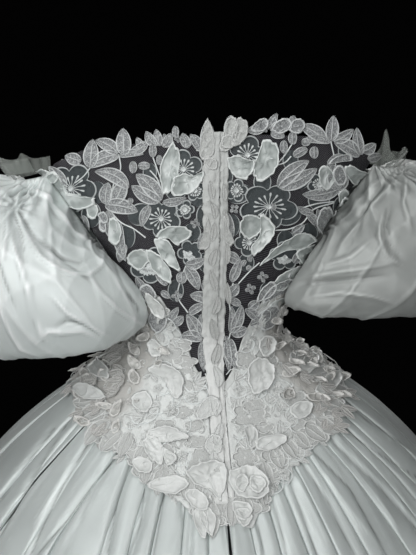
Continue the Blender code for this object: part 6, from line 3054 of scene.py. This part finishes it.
LAMPS = (
    Lamp("key_light", -26, 22, 1.3, 1.2, 11.5),
    Lamp("fill_light", 8, 10, 2.8, 2.2, 15),
    Lamp("top_light", -15, 78, 2.8, 1.2, 16),
    Lamp("front_light", 172, 24, 3.2, 1.8, 46),
)


@dataclass(frozen=True)
class Studio:
    """A plain floor, a dark room, soft lights and the camera."""

    floor_radius: float = 1.05
    floor_height: float = -1.074
    floor_depth: float = 0.02
    floor_colour: Colour = (0.62, 0.63, 0.62)
    room_colour: Colour = (0.0008, 0.0008, 0.0008)
    film_width: float = 36.0

    def build(self) -> None:
        """Sets it all up round the gown."""
        scene = bpy.context.scene
        scene.view_settings.view_transform = "Standard"
        world = bpy.data.worlds.new("dark_room")
        world.use_nodes = True
        world.node_tree.nodes["Background"].inputs["Color"].default_value = (*self.room_colour, 1)
        scene.world = world
        middle = (0, 0, self.floor_height - self.floor_depth / 2)
        bpy.ops.mesh.primitive_cylinder_add(
            vertices=96, radius=self.floor_radius, depth=self.floor_depth, location=middle
        )
        floor = bpy.context.object
        floor.name = "studio_floor"
        floor.data.materials.append(FloorFinish("studio_floor", self.floor_colour).make())
        for lamp in LAMPS:
            self.light(lamp)
        self.camera()

    def light(self, lamp: Lamp) -> None:
        """Adds one soft light that looks at the middle of the gown.

        Args:
            lamp: the light.
        """
        data = bpy.data.lights.new(lamp.name, "AREA")
        data.shape = "DISK"
        data.size = lamp.size
        data.energy = lamp.power
        chart = Chart(azimuth=lamp.azimuth, elevation=lamp.elevation, distance=lamp.distance)
        self.stand(bpy.data.objects.new(lamp.name, data), chart)

    def camera(self) -> None:
        """Adds the camera at the eye of the chart."""
        data = bpy.data.cameras.new("camera")
        data.sensor_fit = "HORIZONTAL"
        data.sensor_width = self.film_width
        data.lens = self.film_width * CHART.reach / CHART.width
        data.clip_start = 0.02
        camera = bpy.data.objects.new("camera", data)
        self.stand(camera, CHART)
        bpy.context.scene.camera = camera

    @staticmethod
    def stand(thing: bpy.types.Object, chart: Chart) -> None:
        """Puts a light or the camera at a chart's eye, looking at its target.

        Args:
            thing: the light or the camera.
            chart: what it sees.
        """
        right, up, back = chart.axes()
        turned = np.eye(4)
        turned[:3, 0], turned[:3, 1], turned[:3, 2], turned[:3, 3] = right, up, back, chart.eye()
        thing.matrix_world = Matrix(turned)
        bpy.context.scene.collection.objects.link(thing)


def main() -> None:
    """Builds the gown piece by piece, and the studio round it."""
    logging.basicConfig(level=logging.INFO, format="%(message)s")
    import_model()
    Bodice().build()
    flowers = satin_flowers()
    for side in ("left", "right"):
        lace = YokeLace(side).build()
        sewn = [piece for name, piece in flowers.items() if name.endswith(side) and "waist" not in name]
        NetBack(side).build([lace, *sewn])
    Lap("right", (0.0026, 0.0152), UNDER_LAP_LIFT, 51).build()
    Lap("left", (OVER_LAP[0], 0.0040), OVER_LAP_LIFT, 54).build()
    FrontNeckLace().build()
    BodiceLace().build(loose_motifs(), flowers["flower_waist_right"])
    Skirt().build()
    for arm in ARMS:
        Sleeve(arm).build()
    Studio().build()


if __name__ == "__main__":
    main()
